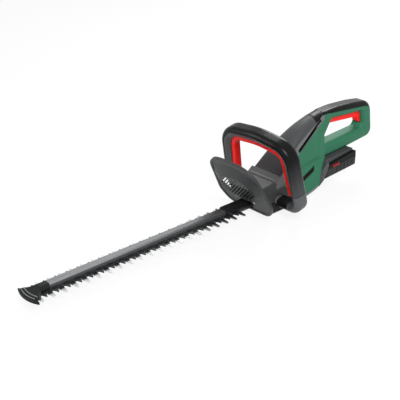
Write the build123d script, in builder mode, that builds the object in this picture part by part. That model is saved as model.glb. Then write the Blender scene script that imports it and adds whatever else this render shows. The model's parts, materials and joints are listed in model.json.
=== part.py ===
from build123d import *
from math import atan2, cos, degrees, radians, sin, tan
import os

# Cordless hedge trimmer. +X runs forward along the blade, +Y is the tool's left, +Z is up.
# The origin lies on the resting face under the gear case, below the crank's axis. Sizes in mm.

os.makedirs("parts", exist_ok=True)

# Clearances
seam = 0.3
running = 0.05
sliding = 0.3

# Blade set
tooth_pitch = 24.0
tooth_count = 21
root_tooth_x = 95.0
comb_z = 22.4
blade_thick = 2.0
backbone_half = 12.0
long_reach = 31.0
long_root = 14.0
long_tip_radius = 2.6
short_reach = 24.5
short_root = 20.0
short_tip_radius = 1.0
comb_tail_x = 32.0
comb_nose = 8.0
cutter_nose = 6.0
tang_half = 9.0
tip_tooth_x = root_tooth_x + (tooth_count - 1) * tooth_pitch
stroke_half = tooth_pitch / 2
cutter_z = comb_z + blade_thick + sliding
cutter_top = cutter_z + blade_thick

# Guide bar, its sleeve at the guard and the bolts that hold the blades to it
bar_z = cutter_top + sliding
bar_height = 10.5
bar_half = 10.0
bar_top_half = 5.8
bar_shoulder = 4.5
bar_wall = 1.6
bar_end_setback = 29.0
sleeve_wall = 2.2
sleeve_end_x = 128.0
bolt_count = 4
bolt_radius = 2.0
bolt_head_radius = 4.2
bolt_head_height = 2.2
bolt_depth = 5.5
spacer_radius = 3.4
bolt_pad_radius = 4.5
bar_top = bar_z + bar_height
bar_end_x = tip_tooth_x - bar_end_setback
bolt_xs = [root_tooth_x + tooth_pitch * (2 + 5 * k) for k in range(bolt_count)]

# Tip protector
tip_stem = 18.0
tip_front_x = tip_tooth_x + 17.5
tip_corner_setback = 7.5
tip_half = 34.0
tip_lip = 2.0
tip_low_z = 21.0
tip_brow_share = 0.6
tip_high_z = 25.0

# Hand guard
guard_x = 55.5
guard_z = 26.0
guard_lean = 29.0
guard_thick = 3.0
guard_crown_v = 129.0
guard_crown_radius = 180.0
guard_shoulder_half = 62.5
guard_shoulder_v = 119.0
guard_shoulder_radius = 42.0
guard_hip_half = 74.5
guard_hip_v = 18.0
guard_hip_radius = 26.0
guard_sole_half = 58.0
guard_sole_v = -15.5
guard_corner_radius = 30.0
guard_rim_width = 5.0
guard_rim_front = 1.2
guard_rim_back = 1.5
guard_foot_v = 67.0
guard_foot_half = 65.0
guard_foot_rise = 46.0
guard_field_v = 54.0
guard_field_half = 50.0
guard_field_rise = 31.0
guard_field_lift = 7.0
guard_field_margin = 4.0
guard_slot_count = 12
guard_slot_pitch = 5.8
guard_slot_width = 2.8
guard_slot_slant = -45.0
guard_screw_y = 25.0
guard_screw_v = 17.0

# Gear case
case_half = 37.0
case_wall = 3.0
case_rear_x = -48.0
case_split_z = 30.0
case_deck_z = 49.9
case_step_x = -14.0
case_step_z = 57.0
case_front_x = 12.6
case_brow_z = 71.5
case_nose_z = 68.0
collar_low_x = 21.0
collar_low_z = 75.5
case_screw_radius = 2.0
case_screw_head = 3.6
case_screw_rear_x = -38.0
case_screw_front_x = 23.0
case_edge_radius = 10.0
case_chin_x = 24.0
case_chin_z = 11.0
plate_front_x = 30.0

# Drive: a motor on end turns a spur gear whose crank roller works in the cutter's yoke
gear_module = 1.0
gear_dedendum = 1.25
gear_addendum = 0.9
gear_tooth_share = 0.6
gear_flank_angle = 20.0
gear_teeth = 52
pinion_teeth = 13
gear_z = 33.5
gear_height = 8.0
hub_radius = 5.0
bearing_radius = 8.5
plate_z = 43.0
plate_thick = 3.5
roller_radius = 5.0
crank_lag = 2.6
yoke_wall = 5.0
yoke_height = 4.5
motor_radius = 19.0
motor_height = 45.0
motor_wall = 1.8
motor_cap = 3.0
rotor_radius = 13.0
shaft_radius = 1.6
gear_pitch_radius = gear_module * gear_teeth / 2
pinion_pitch_radius = gear_module * pinion_teeth / 2
motor_x = -(gear_pitch_radius + pinion_pitch_radius)
motor_z = plate_z + plate_thick

# Body shells: stations along X, each as x, underside, crown, half width low, half width high,
# rise of the crown, lower corner radius and upper corner radius
shell_wall = 3.0
stations = [
    (12.0, 3.0, 80.5, 37.0, 36.5, 2.5, 4.0, 4.0),
    (-8.0, 3.0, 98.5, 37.5, 35.5, 6.0, 6.0, 6.0),
    (-30.0, 3.0, 122.5, 37.5, 31.5, 10.0, 8.0, 8.0),
    (-61.0, 4.0, 149.0, 37.5, 26.0, 13.0, 10.0, 10.0),
    (-95.0, 8.0, 165.5, 37.5, 22.0, 12.5, 10.0, 11.0),
    (-127.0, 16.0, 175.0, 36.0, 18.8, 9.5, 10.0, 10.0),
]
tail_stations = [
    (-134.0, 54.0, 176.0, 34.0, 18.2, 8.5, 9.0, 9.5),
    (-150.0, 73.0, 178.5, 27.0, 17.5, 6.5, 7.0, 9.0),
]

# Rear handle, seen from the side as X and Z
handle_half = 17.5
handle_round = 9.0
handle_outline = [
    (-112.0, 150.0), (-150.0, 178.0), (-195.0, 180.0), (-253.0, 176.5), (-311.5, 168.5),
    (-324.5, 85.0), (-244.0, 77.5), (-120.0, 71.0),
]
handle_radii = [6.0, 40.0, 200.0, 300.0, 32.0, 18.0, 90.0, 6.0]
opening_outline = [
    (-161.5, 103.5), (-158.0, 121.0), (-180.0, 156.5), (-283.0, 149.0), (-291.0, 111.0),
]
opening_radii = [9.0, 12.0, 9.0, 9.0, 12.0]

# Seam lines between the shells, seen from the side as X and Z
spine_rear_x = -122.7
grip_split_x = -186.0
spine_line = [
    (6.5, 77.5), (-8.0, 89.0), (-30.0, 108.5),
    (-61.0, 131.5), (-95.0, 148.5), (spine_rear_x, 160.5),
]
trim_line = [(-20.0, 74.0), (-58.6, 107.5), (-152.0, 164.0)]
grip_line = [(spine_rear_x, 161.5), (-146.0, 172.5), (-162.0, 173.0), (-290.0, 160.0), (-345.0, 147.0)]
vent_low = (-62.8, 117.0)
vent_high = (-140.0, 163.5)
vent_width = 6.5
vent_screen = 1.5

collar_high = (7.0, 86.0)
collar_heel = (2.9, 82.5)
collar_half = 38.5
collar_round = 1.4
grip_seam_z = 170.6

# Bare strips and a pair of grooves on the sides, seen from the side as X and Z
strip_depth = 1.0
strip_front_low = (-71.0, 45.0)
strip_front_high = (-73.0, 57.0)
strip_rear_low = (-110.0, 61.0)
strip_rear_high = (-112.0, 73.0)
groove_front = (-66.6, 80.6)
groove_rear = (-130.0, 88.5)
groove_width = 1.4
groove_step = 5.0

# Loop handle, in its own leaning plane as Y and height
loop_x = 0.0
loop_z = 26.0
loop_lean = 13.2
loop_depth = 34.0
loop_outer = [(-107.0, -4.0), (107.0, -4.0), (96.5, 152.0), (0.0, 163.0), (-96.5, 152.0)]
loop_outer_radii = [26.0, 26.0, 50.0, 220.0, 50.0]
loop_inner = [(-86.5, 13.0), (86.5, 13.0), (72.5, 133.0), (0.0, 140.5), (-72.5, 133.0)]
loop_inner_radii = [16.0, 16.0, 30.0, 205.0, 30.0]
loop_round = 10.5
loop_slope_width = 10.0
loop_edge_half = 10.2
loop_grip_band = 10.5
loop_grip_low = 40.0
loop_line_width = 1.3
loop_line_depth = 1.6
switch_bar_sink = 1.0
switch_bar_proud = 9.6
switch_bar_depth = 16.0
switch_bar_low = 34.5
switch_bar_travel = 3.0
bar_groove_depth = switch_bar_sink + switch_bar_travel + 2 * sliding
clamp_radius = 12.0
clamp_thick = 4.0
clamp_shift = 3.0
loop_bolt_drop = 4.0
loop_bolt_bite = 20.0

# Rear trigger
trigger_half = 6.8
trigger_gap = 0.6
trigger_pivot = (-177.0, 162.0)
trigger_pin_radius = 1.6
trigger_pin_half = 11.0
trigger_boss_radius = 4.0
trigger_round = 3.0
switch_spot = (-205.0, 168.5)
switch_length = 20.0
switch_height = 6.0
board_spot = (-214.0, 91.0)
board_length = 58.0
board_thick = 1.6
board_chip = 3.0
trigger_outline = [
    (-182.5, 144.8), (-275.0, 136.5), (-280.0, 124.0), (-289.5, 120.5), (-291.0, 147.0),
    (-286.0, 155.5), (-178.0, 163.5), (-174.0, 157.0),
]
trigger_well = [
    (-169.0, 150.0), (-275.0, 120.0), (-293.5, 118.5), (-297.0, 147.0), (-286.0, 400.0), (-169.0, 400.0),
]

# Battery foot and pack, in a plane that tilts with the rails as length to the rear and height
pack_x = -148.0
pack_z = 62.0
pack_tilt = 3.5
pack_half = 37.0
pack_height = 29.5
pack_length = 95.5
pack_front_top = 8.0
pack_front_low = -4.0
pack_split = -9.0
pack_rise = 5.0
pack_rake = 2.0
pack_wall = 2.5
pack_round = 5.0
foot_half = 29.0
foot_wall_half = 36.0
foot_lip = 4.0
foot_lift = 2.0
foot_round = 6.0
terminal_length = 4.0
terminal_reach = 5.0
terminal_blade = 0.8
terminal_ys = (-12.0, -4.0, 4.0, 12.0)
foot_length = 93.0
rail_half = 25.0
rail_throat_half = 20.0
rail_stem = 3.2
rail_flange = 2.8
rail_start = 16.0
rail_end = 86.0
rail_gap = 0.4
cell_count = 5
cell_front = 4.7
cell_rear = 3.8
cell_gap = 0.2
cell_length = 65.0
cell_height = -15.2
cell_step = (pack_length - cell_front - cell_rear) / cell_count
cell_radius = (cell_step - cell_gap) / 2
cell_first = cell_front + cell_step / 2
button_start = 17.0
button_length = 22.0
button_height = 5.6
button_proud = 1.2
button_depth = button_proud + pack_wall - seam

# Screws that join the shells, as X, Z and the depth of their seats from the middle
screw_radius = 1.8
screw_head_radius = 3.2
screw_head_height = 2.4
screw_boss_radius = 4.6
screw_bite = 8.0
shell_screws = [
    (-66.0, 26.0, 33.0), (-112.0, 36.0, 32.0), (-104.0, 118.0, 24.0), (-150.0, 96.0, 17.0),
    (-262.0, 94.0, 13.0), (-307.0, 118.0, 13.0),
]

wide = 200.0

guard_plane = Plane(
    origin=(guard_x, 0, guard_z), x_dir=(0, 1, 0),
    z_dir=(cos(radians(guard_lean)), 0, -sin(radians(guard_lean))),
)
loop_plane = Plane(
    origin=(loop_x, 0, loop_z), x_dir=(0, 1, 0),
    z_dir=(cos(radians(loop_lean)), 0, -sin(radians(loop_lean))),
)
pack_plane = Plane(
    origin=(pack_x, 0, pack_z), x_dir=(-cos(radians(pack_tilt)), 0, sin(radians(pack_tilt))),
    z_dir=(0, 1, 0),
)
pack_end_plane = Plane(origin=(pack_x, 0, pack_z), x_dir=(0, -1, 0), z_dir=pack_plane.x_dir)


def write_part(piece, name):
    """Label a finished piece and write it as its own file."""
    piece.part.label = name
    export_step(piece.part, f"parts/{name}.step")


def case_front(z, inset=0.0):
    """X of the gear case's front face, which lies against the leaning guard, at height z."""
    lean = radians(guard_lean)
    return guard_x + (z - guard_z) * tan(lean) - (guard_thick + inset) / cos(lean)


def pack_point(u, w):
    """X and Z of a point given along and above the battery rails."""
    tilt = radians(pack_tilt)
    return (pack_x - u * cos(tilt) + w * sin(tilt), pack_z + u * sin(tilt) + w * cos(tilt))


def side_slab(points, half=wide):
    """Straight prism through the tool with a straight-sided outline in X and Z."""
    with BuildPart() as slab:
        with BuildSketch(Plane.XZ):
            Polygon(*points, align=None)
        extrude(amount=half, both=True)
    return slab.part


def body_section(station, inset):
    """One closed cross-section of the body, drawn in by the wall where inset is given."""
    x, low, high, half_low, half_high, rise, low_radius, high_radius = station
    bottom = low + inset
    shoulder = high - rise - inset
    low_half = half_low - inset
    high_half = half_high - inset
    with BuildSketch(Plane.YZ.offset(x)) as section:
        with BuildLine():
            Polyline(
                (-high_half, shoulder), (-low_half, bottom),
                (low_half, bottom), (high_half, shoulder),
            )
            ThreePointArc((high_half, shoulder), (0, high - inset), (-high_half, shoulder))
        make_face()
        fillet(section.vertices().group_by(Axis.Y)[0], radius=low_radius - inset / 2)
        fillet(section.vertices().group_by(Axis.Y)[-1], radius=high_radius - inset / 2)
    return section.sketch


def body_form(inset):
    """The whole body from the collar to the rear handle, or its inside when inset is the wall."""
    with BuildPart() as form:
        for station in stations:
            add(body_section(station, inset))
        loft()
        for front, back in zip([stations[-1]] + tail_stations, tail_stations):
            for station in (front, back):
                add(body_section(station, inset))
            loft(ruled=True)
        add(handle_form(inset))
    return form.part


def handle_form(inset):
    """The D-shaped rear handle as a rounded ring, or its hollow when inset is the wall."""
    with BuildPart() as ring:
        with BuildSketch(Plane.XZ):
            with BuildLine():
                FilletPolyline(*handle_outline, radius=handle_radii, close=True)
            make_face()
            offset(amount=-inset)
        extrude(amount=handle_half - inset, both=True)
        with BuildSketch(Plane.XZ):
            with BuildLine():
                FilletPolyline(*opening_outline, radius=opening_radii, close=True)
            make_face()
            offset(amount=inset)
        extrude(amount=wide, both=True, mode=Mode.SUBTRACT)
        rims = ring.edges().group_by(Axis.Y)
        fillet(rims[0] + rims[-1], radius=handle_round - inset)
    return ring.part


def tooth_field(reach, root, tip_radius, places):
    """Outline of pairs of teeth at the given places along the blade."""
    flank = reach - tip_radius
    with BuildSketch() as field:
        with Locations(*[(x, 0) for x in places]):
            Polygon(
                (-root / 2, 0), (-tip_radius, -flank), (tip_radius, -flank),
                (root / 2, 0), (tip_radius, flank), (-tip_radius, flank), align=None,
            )
        with Locations(*[(x, side * flank) for x in places for side in (-1, 1)]):
            Circle(tip_radius)
    return field.sketch


def strip(x_from, x_to, half):
    """Rectangle along the blade between two places, added to the sketch in work."""
    with Locations(((x_from + x_to) / 2, 0)):
        Rectangle(x_to - x_from, 2 * half)


def bar_section(grow):
    """Corners of the guide bar's section in Y and Z, drawn out by grow."""
    half = bar_half + grow
    flat = bar_top_half + grow
    edge = bar_z + bar_shoulder
    top = bar_top + grow
    return [(-half, bar_z), (half, bar_z), (half, edge), (flat, top), (-flat, top), (-half, edge)]


def spur_outline(teeth, turn):
    """Outline of a spur gear with straight-flanked teeth, turned by the given angle."""
    pitch_radius = gear_module * teeth / 2
    root_radius = pitch_radius - gear_dedendum * gear_module
    tip_radius = pitch_radius + gear_addendum * gear_module
    tooth_half = gear_tooth_share * gear_module
    slope = tan(radians(gear_flank_angle))
    root_half = tooth_half + slope * (pitch_radius - root_radius)
    tip_half_width = tooth_half - slope * (tip_radius - pitch_radius)
    with BuildSketch() as outline:
        Circle(root_radius + gear_module / 10)
        with PolarLocations(0, teeth, start_angle=turn):
            Polygon(
                (root_radius - gear_module, -root_half), (root_radius, -root_half),
                (tip_radius, -tip_half_width), (tip_radius, tip_half_width),
                (root_radius, root_half), (root_radius - gear_module, root_half), align=None,
            )
    return outline.sketch


def loop_face(outline, radii, grow):
    """One outline of the loop handle as Y and height in its plane, drawn out by grow."""
    with BuildSketch() as face:
        with BuildLine():
            FilletPolyline(*outline, radius=radii, close=True)
        make_face()
        offset(amount=grow)
    return face.sketch


def loop_below(height):
    """Prism of everything under a height in the loop handle's plane."""
    with BuildPart() as below:
        with BuildSketch(loop_plane):
            with Locations((0, height - wide / 2)):
                Rectangle(2 * wide, wide)
        extrude(amount=wide, both=True)
    return below.part


def loop_ring():
    """The loop handle as one rounded ring."""
    across = Axis((0, 0, 0), loop_plane.z_dir)
    with BuildPart() as ring:
        with BuildSketch(loop_plane):
            add(loop_face(loop_outer, loop_outer_radii, 0.0))
        extrude(amount=loop_depth / 2, both=True)
        ends = ring.faces().sort_by(across)
        fillet(ends[0].edges() + ends[-1].edges(), radius=loop_round)
        with BuildSketch(loop_plane):
            add(loop_face(loop_inner, loop_inner_radii, 0.0))
        extrude(amount=loop_depth, both=True, mode=Mode.SUBTRACT)
        for side in (-1, 1):
            with BuildSketch(loop_plane.offset(side * loop_edge_half)):
                add(loop_face(loop_inner, loop_inner_radii, 0.0))
            with BuildSketch(loop_plane.offset(side * loop_depth / 2)):
                add(loop_face(loop_inner, loop_inner_radii, loop_slope_width))
            loft(ruled=True, mode=Mode.SUBTRACT)
    return ring.part


def grip_line_zone():
    """Thin ring-shaped prisms on both faces where a groove parts the soft grip from the frame."""
    with BuildPart() as zone:
        for side in (-1, 1):
            with BuildSketch(loop_plane.offset(side * (loop_depth / 2 - loop_line_depth))):
                add(loop_face(loop_outer, loop_outer_radii, -loop_grip_band))
                inner_edge = loop_face(loop_outer, loop_outer_radii, -loop_grip_band - loop_line_width)
                add(inner_edge, mode=Mode.SUBTRACT)
            extrude(amount=side * loop_depth)
        add(loop_below(loop_grip_low), mode=Mode.SUBTRACT)
    return zone.part


def grip_zone():
    """Prism around the outside of the loop where the soft grip lies."""
    with BuildPart() as zone:
        with BuildSketch(loop_plane):
            add(loop_face(loop_outer, loop_outer_radii, loop_round))
        extrude(amount=loop_depth, both=True)
        with BuildSketch(loop_plane):
            add(loop_face(loop_outer, loop_outer_radii, -loop_grip_band))
        extrude(amount=loop_depth, both=True, mode=Mode.SUBTRACT)
        add(loop_below(loop_grip_low), mode=Mode.SUBTRACT)
    return zone.part


def guard_face(grow):
    """Outline of the hand guard as Y and height in its plane, drawn out by grow."""
    corners = [
        (guard_crown_v, 0.0, guard_crown_radius),
        (guard_shoulder_v, guard_shoulder_half, guard_shoulder_radius),
        (guard_hip_v, guard_hip_half, guard_hip_radius),
        (guard_sole_v, guard_sole_half, guard_corner_radius),
    ]
    near = [(half, v) for v, half, _ in corners]
    far = [(-half, v) for half, v in near[:0:-1]]
    with BuildSketch() as face:
        with BuildLine():
            Polyline(*near, *far, close=True)
        make_face()
        for v, _, radius in corners:
            fillet(face.vertices().filter_by_position(Axis.Y, v - seam, v + seam), radius=radius)
        offset(amount=grow)
    return face.sketch


def guard_dome(depth):
    """Raised middle of the hand guard, set back from its front by depth."""
    with BuildPart() as dome:
        with BuildSketch(guard_plane.offset(-depth)):
            with Locations((0, guard_foot_v)):
                Ellipse(guard_foot_half, guard_foot_rise)
        with BuildSketch(guard_plane.offset(guard_field_lift - depth)):
            with Locations((0, guard_field_v)):
                Ellipse(guard_field_half, guard_field_rise)
        loft(ruled=True)
    return dome.part


def slot_chord(across):
    """Middle and half length of a slanted slot that lies across from the field's middle."""
    wide_half = guard_field_half - guard_field_margin
    high_half = guard_field_rise - guard_field_margin
    run = (sin(radians(guard_slot_slant)), -cos(radians(guard_slot_slant)))
    square = (run[0] / wide_half) ** 2 + (run[1] / high_half) ** 2
    cross = across * run[0] * run[1] * (1 / high_half ** 2 - 1 / wide_half ** 2)
    rest = across ** 2 * ((run[1] / wide_half) ** 2 + (run[0] / high_half) ** 2) - 1
    half = (cross ** 2 - square * rest) ** 0.5 / square
    shift = -cross / square
    return (shift * run[0] - across * run[1], shift * run[1] + across * run[0]), half


# Blades
comb_nose_x = tip_tooth_x + comb_nose
long_places = [root_tooth_x + tooth_pitch * k for k in range(tooth_count)]
short_places = [x + tooth_pitch / 2 for x in long_places[:-1]]
tip_bolt_x = bar_end_x + bolt_pad_radius
all_bolt_xs = bolt_xs + [tip_bolt_x]

with BuildPart() as comb_blade:
    with BuildSketch(Plane.XY.offset(comb_z)):
        strip(comb_tail_x, comb_nose_x, backbone_half)
        add(tooth_field(long_reach, long_root, long_tip_radius, long_places))
        with Locations(*[(x, 0) for x in all_bolt_xs]):
            Circle(bolt_radius + running, mode=Mode.SUBTRACT)
    extrude(amount=blade_thick)
write_part(comb_blade, "comb_blade")

yoke_slot_half = roller_radius + crank_lag + sliding
yoke_slot_reach = stroke_half + roller_radius + sliding
yoke_half = yoke_slot_half + yoke_wall
yoke_reach = yoke_slot_reach + yoke_wall
cutter_root_x = guard_x
cutter_nose_x = short_places[-1] + cutter_nose
bolt_slot_width = 2 * (spacer_radius + sliding)

with BuildPart() as cutter_blade:
    with BuildSketch(Plane.XY.offset(cutter_z)):
        strip(cutter_root_x, cutter_nose_x, backbone_half)
        strip(0, cutter_root_x, tang_half)
        Rectangle(2 * yoke_half, 2 * yoke_reach)
        add(tooth_field(short_reach, short_root, short_tip_radius, short_places))
        with Locations((cutter_nose_x + short_root / 2, 0)):
            Rectangle(short_root, 2 * backbone_half, mode=Mode.SUBTRACT)
        Rectangle(2 * yoke_slot_half, 2 * yoke_slot_reach, mode=Mode.SUBTRACT)
        with Locations(*[(x, 0) for x in all_bolt_xs]):
            SlotCenterToCenter(2 * stroke_half, bolt_slot_width, mode=Mode.SUBTRACT)
    extrude(amount=blade_thick)
write_part(cutter_blade, "cutter_blade")

with BuildPart() as cutter_yoke:
    with BuildSketch(Plane.XY.offset(cutter_top)):
        RectangleRounded(2 * yoke_half, 2 * yoke_reach, yoke_wall / 2)
        Rectangle(2 * yoke_slot_half, 2 * yoke_slot_reach, mode=Mode.SUBTRACT)
    extrude(amount=yoke_height)
write_part(cutter_yoke, "cutter_yoke")

with BuildPart() as guide_bar:
    with BuildSketch(Plane.YZ.offset(comb_tail_x)):
        Polygon(*bar_section(0.0), align=None)
        Polygon(*bar_section(-bar_wall), align=None, mode=Mode.SUBTRACT)
    extrude(amount=bar_end_x - comb_tail_x)
    with BuildSketch(Plane.XY.offset(bar_z)):
        with Locations(*[(x, 0) for x in bolt_xs]):
            Circle(bolt_pad_radius)
    extrude(amount=bar_height - bar_wall / 2)
    with BuildSketch(Plane.XY.offset(bar_z)):
        with Locations(*[(x, 0) for x in bolt_xs]):
            Circle(bolt_radius + running)
    extrude(amount=bolt_depth + seam, mode=Mode.SUBTRACT)
write_part(guide_bar, "guide_bar")

with BuildPart() as bar_sleeve:
    with BuildSketch(Plane.YZ.offset(guard_x)):
        Polygon(*bar_section(sleeve_wall), align=None)
        Polygon(*bar_section(0.0), align=None, mode=Mode.SUBTRACT)
    extrude(amount=sleeve_end_x - guard_x)
write_part(bar_sleeve, "bar_sleeve")

with BuildPart() as blade_spacers:
    with BuildSketch(Plane.XY.offset(comb_z + blade_thick)):
        with Locations(*[(x, 0) for x in all_bolt_xs]):
            Circle(spacer_radius)
            Circle(bolt_radius + running, mode=Mode.SUBTRACT)
    extrude(amount=bar_z - comb_z - blade_thick)
write_part(blade_spacers, "blade_spacers")

with BuildPart() as blade_bolts:
    with BuildSketch(Plane.XY.offset(comb_z - bolt_head_height)):
        with Locations(*[(x, 0) for x in all_bolt_xs]):
            Circle(bolt_head_radius)
    extrude(amount=bolt_head_height)
    chamfer(blade_bolts.edges().group_by(Axis.Z)[0], length=bolt_head_height / 3)
    with BuildSketch(Plane.XY.offset(comb_z)):
        with Locations(*[(x, 0) for x in all_bolt_xs]):
            Circle(bolt_radius)
    extrude(amount=bar_z + bolt_depth - comb_z)
write_part(blade_bolts, "blade_bolts")

stem_end_x = bar_end_x + tip_stem
flare_run = tip_front_x - stem_end_x
tip_flare = bar_half + (tip_half - bar_half) * flare_run / (flare_run - tip_corner_setback)
tip_brow = tip_brow_share * tip_flare

with BuildPart() as tip_protector:
    with BuildSketch(Plane.YZ.offset(bar_end_x + seam)):
        Polygon(*bar_section(0.0), align=None)
    extrude(amount=tip_stem - seam)
    with BuildSketch(Plane.YZ.offset(stem_end_x)):
        Polygon(*bar_section(0.0), align=None)
    with BuildSketch(Plane.YZ.offset(tip_front_x)):
        Polygon(
            (-tip_flare, tip_low_z), (tip_flare, tip_low_z), (tip_flare, tip_low_z + tip_lip),
            (tip_brow, tip_high_z), (-tip_brow, tip_high_z), (-tip_flare, tip_low_z + tip_lip), align=None,
        )
    loft(ruled=True)
    with BuildSketch():
        with BuildLine():
            Polyline(
                (tip_front_x - tip_corner_setback, -tip_half), (bar_end_x, -tip_half),
                (bar_end_x, tip_half), (tip_front_x - tip_corner_setback, tip_half),
            )
            ThreePointArc(
                (tip_front_x - tip_corner_setback, tip_half), (tip_front_x, 0),
                (tip_front_x - tip_corner_setback, -tip_half),
            )
        make_face()
    extrude(amount=bar_top + sleeve_wall, mode=Mode.INTERSECT)
    with BuildSketch():
        strip(stem_end_x - tip_stem, comb_nose_x + sliding, wide / 2)
    extrude(amount=bar_z, mode=Mode.SUBTRACT)
    with BuildSketch(Plane.XY.offset(bar_z)):
        with Locations((tip_bolt_x, 0)):
            Circle(bolt_radius + running)
    extrude(amount=bolt_depth + seam, mode=Mode.SUBTRACT)
write_part(tip_protector, "tip_protector")

# Hand guard
window_half = bar_half + sleeve_wall + 2 * seam
window_low = (comb_z - bolt_head_height - guard_z) / cos(radians(guard_lean)) - guard_thick
window_high = (bar_top + sleeve_wall - guard_z) / cos(radians(guard_lean)) + guard_thick
guard_slots = [
    slot_chord(guard_slot_pitch * (k - (guard_slot_count - 1) / 2)) for k in range(guard_slot_count)
]
guard_screw_spots = [(side * guard_screw_y, guard_screw_v) for side in (-1, 1)]

with BuildPart() as hand_guard:
    with BuildSketch(guard_plane):
        add(guard_face(0.0))
    extrude(amount=-guard_thick)
    with BuildSketch(guard_plane):
        add(guard_face(0.0))
    extrude(amount=guard_rim_front)
    with BuildSketch(guard_plane):
        add(guard_face(0.0))
    extrude(amount=-guard_thick - guard_rim_back)
    with BuildSketch(guard_plane):
        add(guard_face(-guard_rim_width))
    extrude(amount=guard_rim_front, mode=Mode.SUBTRACT)
    with BuildSketch(guard_plane.offset(-guard_thick)):
        with Locations((0, guard_sole_v)):
            Rectangle(2 * (case_half + seam), 2 * guard_field_v)
    extrude(amount=-2 * guard_rim_back, mode=Mode.SUBTRACT)
    with BuildSketch(guard_plane.offset(-guard_thick)):
        add(guard_face(-guard_rim_width))
    extrude(amount=-2 * guard_rim_back, mode=Mode.SUBTRACT)
    add(guard_dome(0.0))
    add(guard_dome(guard_thick), mode=Mode.SUBTRACT)
    with BuildSketch(guard_plane):
        with Locations((0, (window_low + window_high) / 2)):
            Rectangle(2 * window_half, window_high - window_low)
        for (y, v), half in guard_slots:
            with Locations((y, guard_field_v + v)):
                SlotOverall(2 * half, guard_slot_width, rotation=guard_slot_slant - 90)
        with Locations(*guard_screw_spots):
            Circle(case_screw_radius + running)
    extrude(amount=wide, both=True, mode=Mode.SUBTRACT)
write_part(hand_guard, "hand_guard")

with BuildPart() as guard_screws:
    with BuildSketch(guard_plane):
        with Locations(*guard_screw_spots):
            Circle(case_screw_head)
    extrude(amount=bolt_head_height)
    crowns = guard_screws.edges().group_by(Axis((0, 0, 0), guard_plane.z_dir))[-1]
    fillet(crowns, radius=bolt_head_height / 3)
    with BuildSketch(guard_plane):
        with Locations(*guard_screw_spots):
            Circle(case_screw_radius)
    extrude(amount=-guard_thick - case_wall)
write_part(guard_screws, "guard_screws")

# Gear case: a tray under the split line and a cover that carries the guard and the collar
case_low = [
    (case_rear_x, 0), (case_chin_x, 0), (case_front(case_chin_z), case_chin_z),
    (case_front(case_split_z), case_split_z), (case_rear_x, case_split_z),
]
case_low_inner = [
    (case_rear_x + case_wall, case_wall), (case_chin_x - case_wall, case_wall),
    (case_front(case_chin_z, case_wall), case_chin_z + case_wall),
    (case_front(wide, case_wall), wide), (case_rear_x + case_wall, wide),
]
case_high = [
    (case_rear_x, case_split_z), (case_front(case_split_z), case_split_z),
    (case_front(case_nose_z), case_nose_z),
    (collar_low_x, collar_low_z), (case_front_x, case_brow_z), (case_front_x, case_step_z),
    (case_step_x, case_step_z), (case_step_x, case_deck_z), (case_rear_x, case_deck_z),
]
case_high_inner = [
    (case_rear_x + case_wall, 0), (case_front(0, case_wall), 0),
    (case_front(case_nose_z - case_wall, case_wall), case_nose_z - case_wall),
    (case_front_x + case_wall, case_brow_z - case_wall),
    (case_front_x + case_wall, case_step_z - case_wall),
    (case_step_x + case_wall, case_step_z - case_wall),
    (case_step_x + case_wall, case_deck_z - case_wall),
    (case_rear_x + case_wall, case_deck_z - case_wall),
]
case_inner_half = case_half - case_wall
mouth_top = bar_top + 2 * sleeve_wall
loop_foot_y = case_half + clamp_thick
clamp_z = loop_z + (loop_outer[0][1] + loop_inner[0][1]) / 2 * cos(radians(loop_lean))
clamp_x = loop_x + clamp_shift + (clamp_z - loop_z) * tan(radians(loop_lean))
loop_bolt_spots = [(clamp_x + step * clamp_radius / 2, clamp_z - loop_bolt_drop) for step in (-1, 1)]
blade_seat = [
    (comb_tail_x, case_chin_z), (case_front(case_chin_z), case_chin_z),
    (case_front(comb_z), comb_z), (comb_tail_x, comb_z),
]
case_screw_y = case_half - case_wall - screw_boss_radius / 2
case_screw_spots = [
    (x, side * case_screw_y) for x in (case_screw_rear_x, case_screw_front_x) for side in (-1, 1)
]

with BuildPart() as gear_case_tray:
    add(side_slab(case_low, case_half))
    fillet(gear_case_tray.edges().filter_by(Axis.X).group_by(Axis.Z)[0], radius=case_edge_radius)
    add(side_slab(case_low_inner, case_inner_half), mode=Mode.SUBTRACT)
    add(side_slab(blade_seat, backbone_half))
    with BuildSketch(Plane.XY.offset(case_wall)):
        with Locations(*case_screw_spots):
            Circle(screw_boss_radius)
    extrude(amount=case_split_z - case_wall)
    add(side_slab([(0, comb_z), (wide, comb_z), (wide, wide), (0, wide)], window_half), mode=Mode.SUBTRACT)
    with BuildSketch():
        with Locations(*case_screw_spots):
            Circle(case_screw_head + sliding)
    extrude(amount=2 * bolt_head_height, mode=Mode.SUBTRACT)
    with BuildSketch():
        with Locations(*case_screw_spots):
            Circle(case_screw_radius + running)
    extrude(amount=case_split_z, mode=Mode.SUBTRACT)
    with BuildSketch(Plane.XZ):
        with Locations(*loop_bolt_spots):
            Circle(bolt_radius + running)
    extrude(amount=case_half, both=True, mode=Mode.SUBTRACT)
write_part(gear_case_tray, "gear_case_tray")

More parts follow.
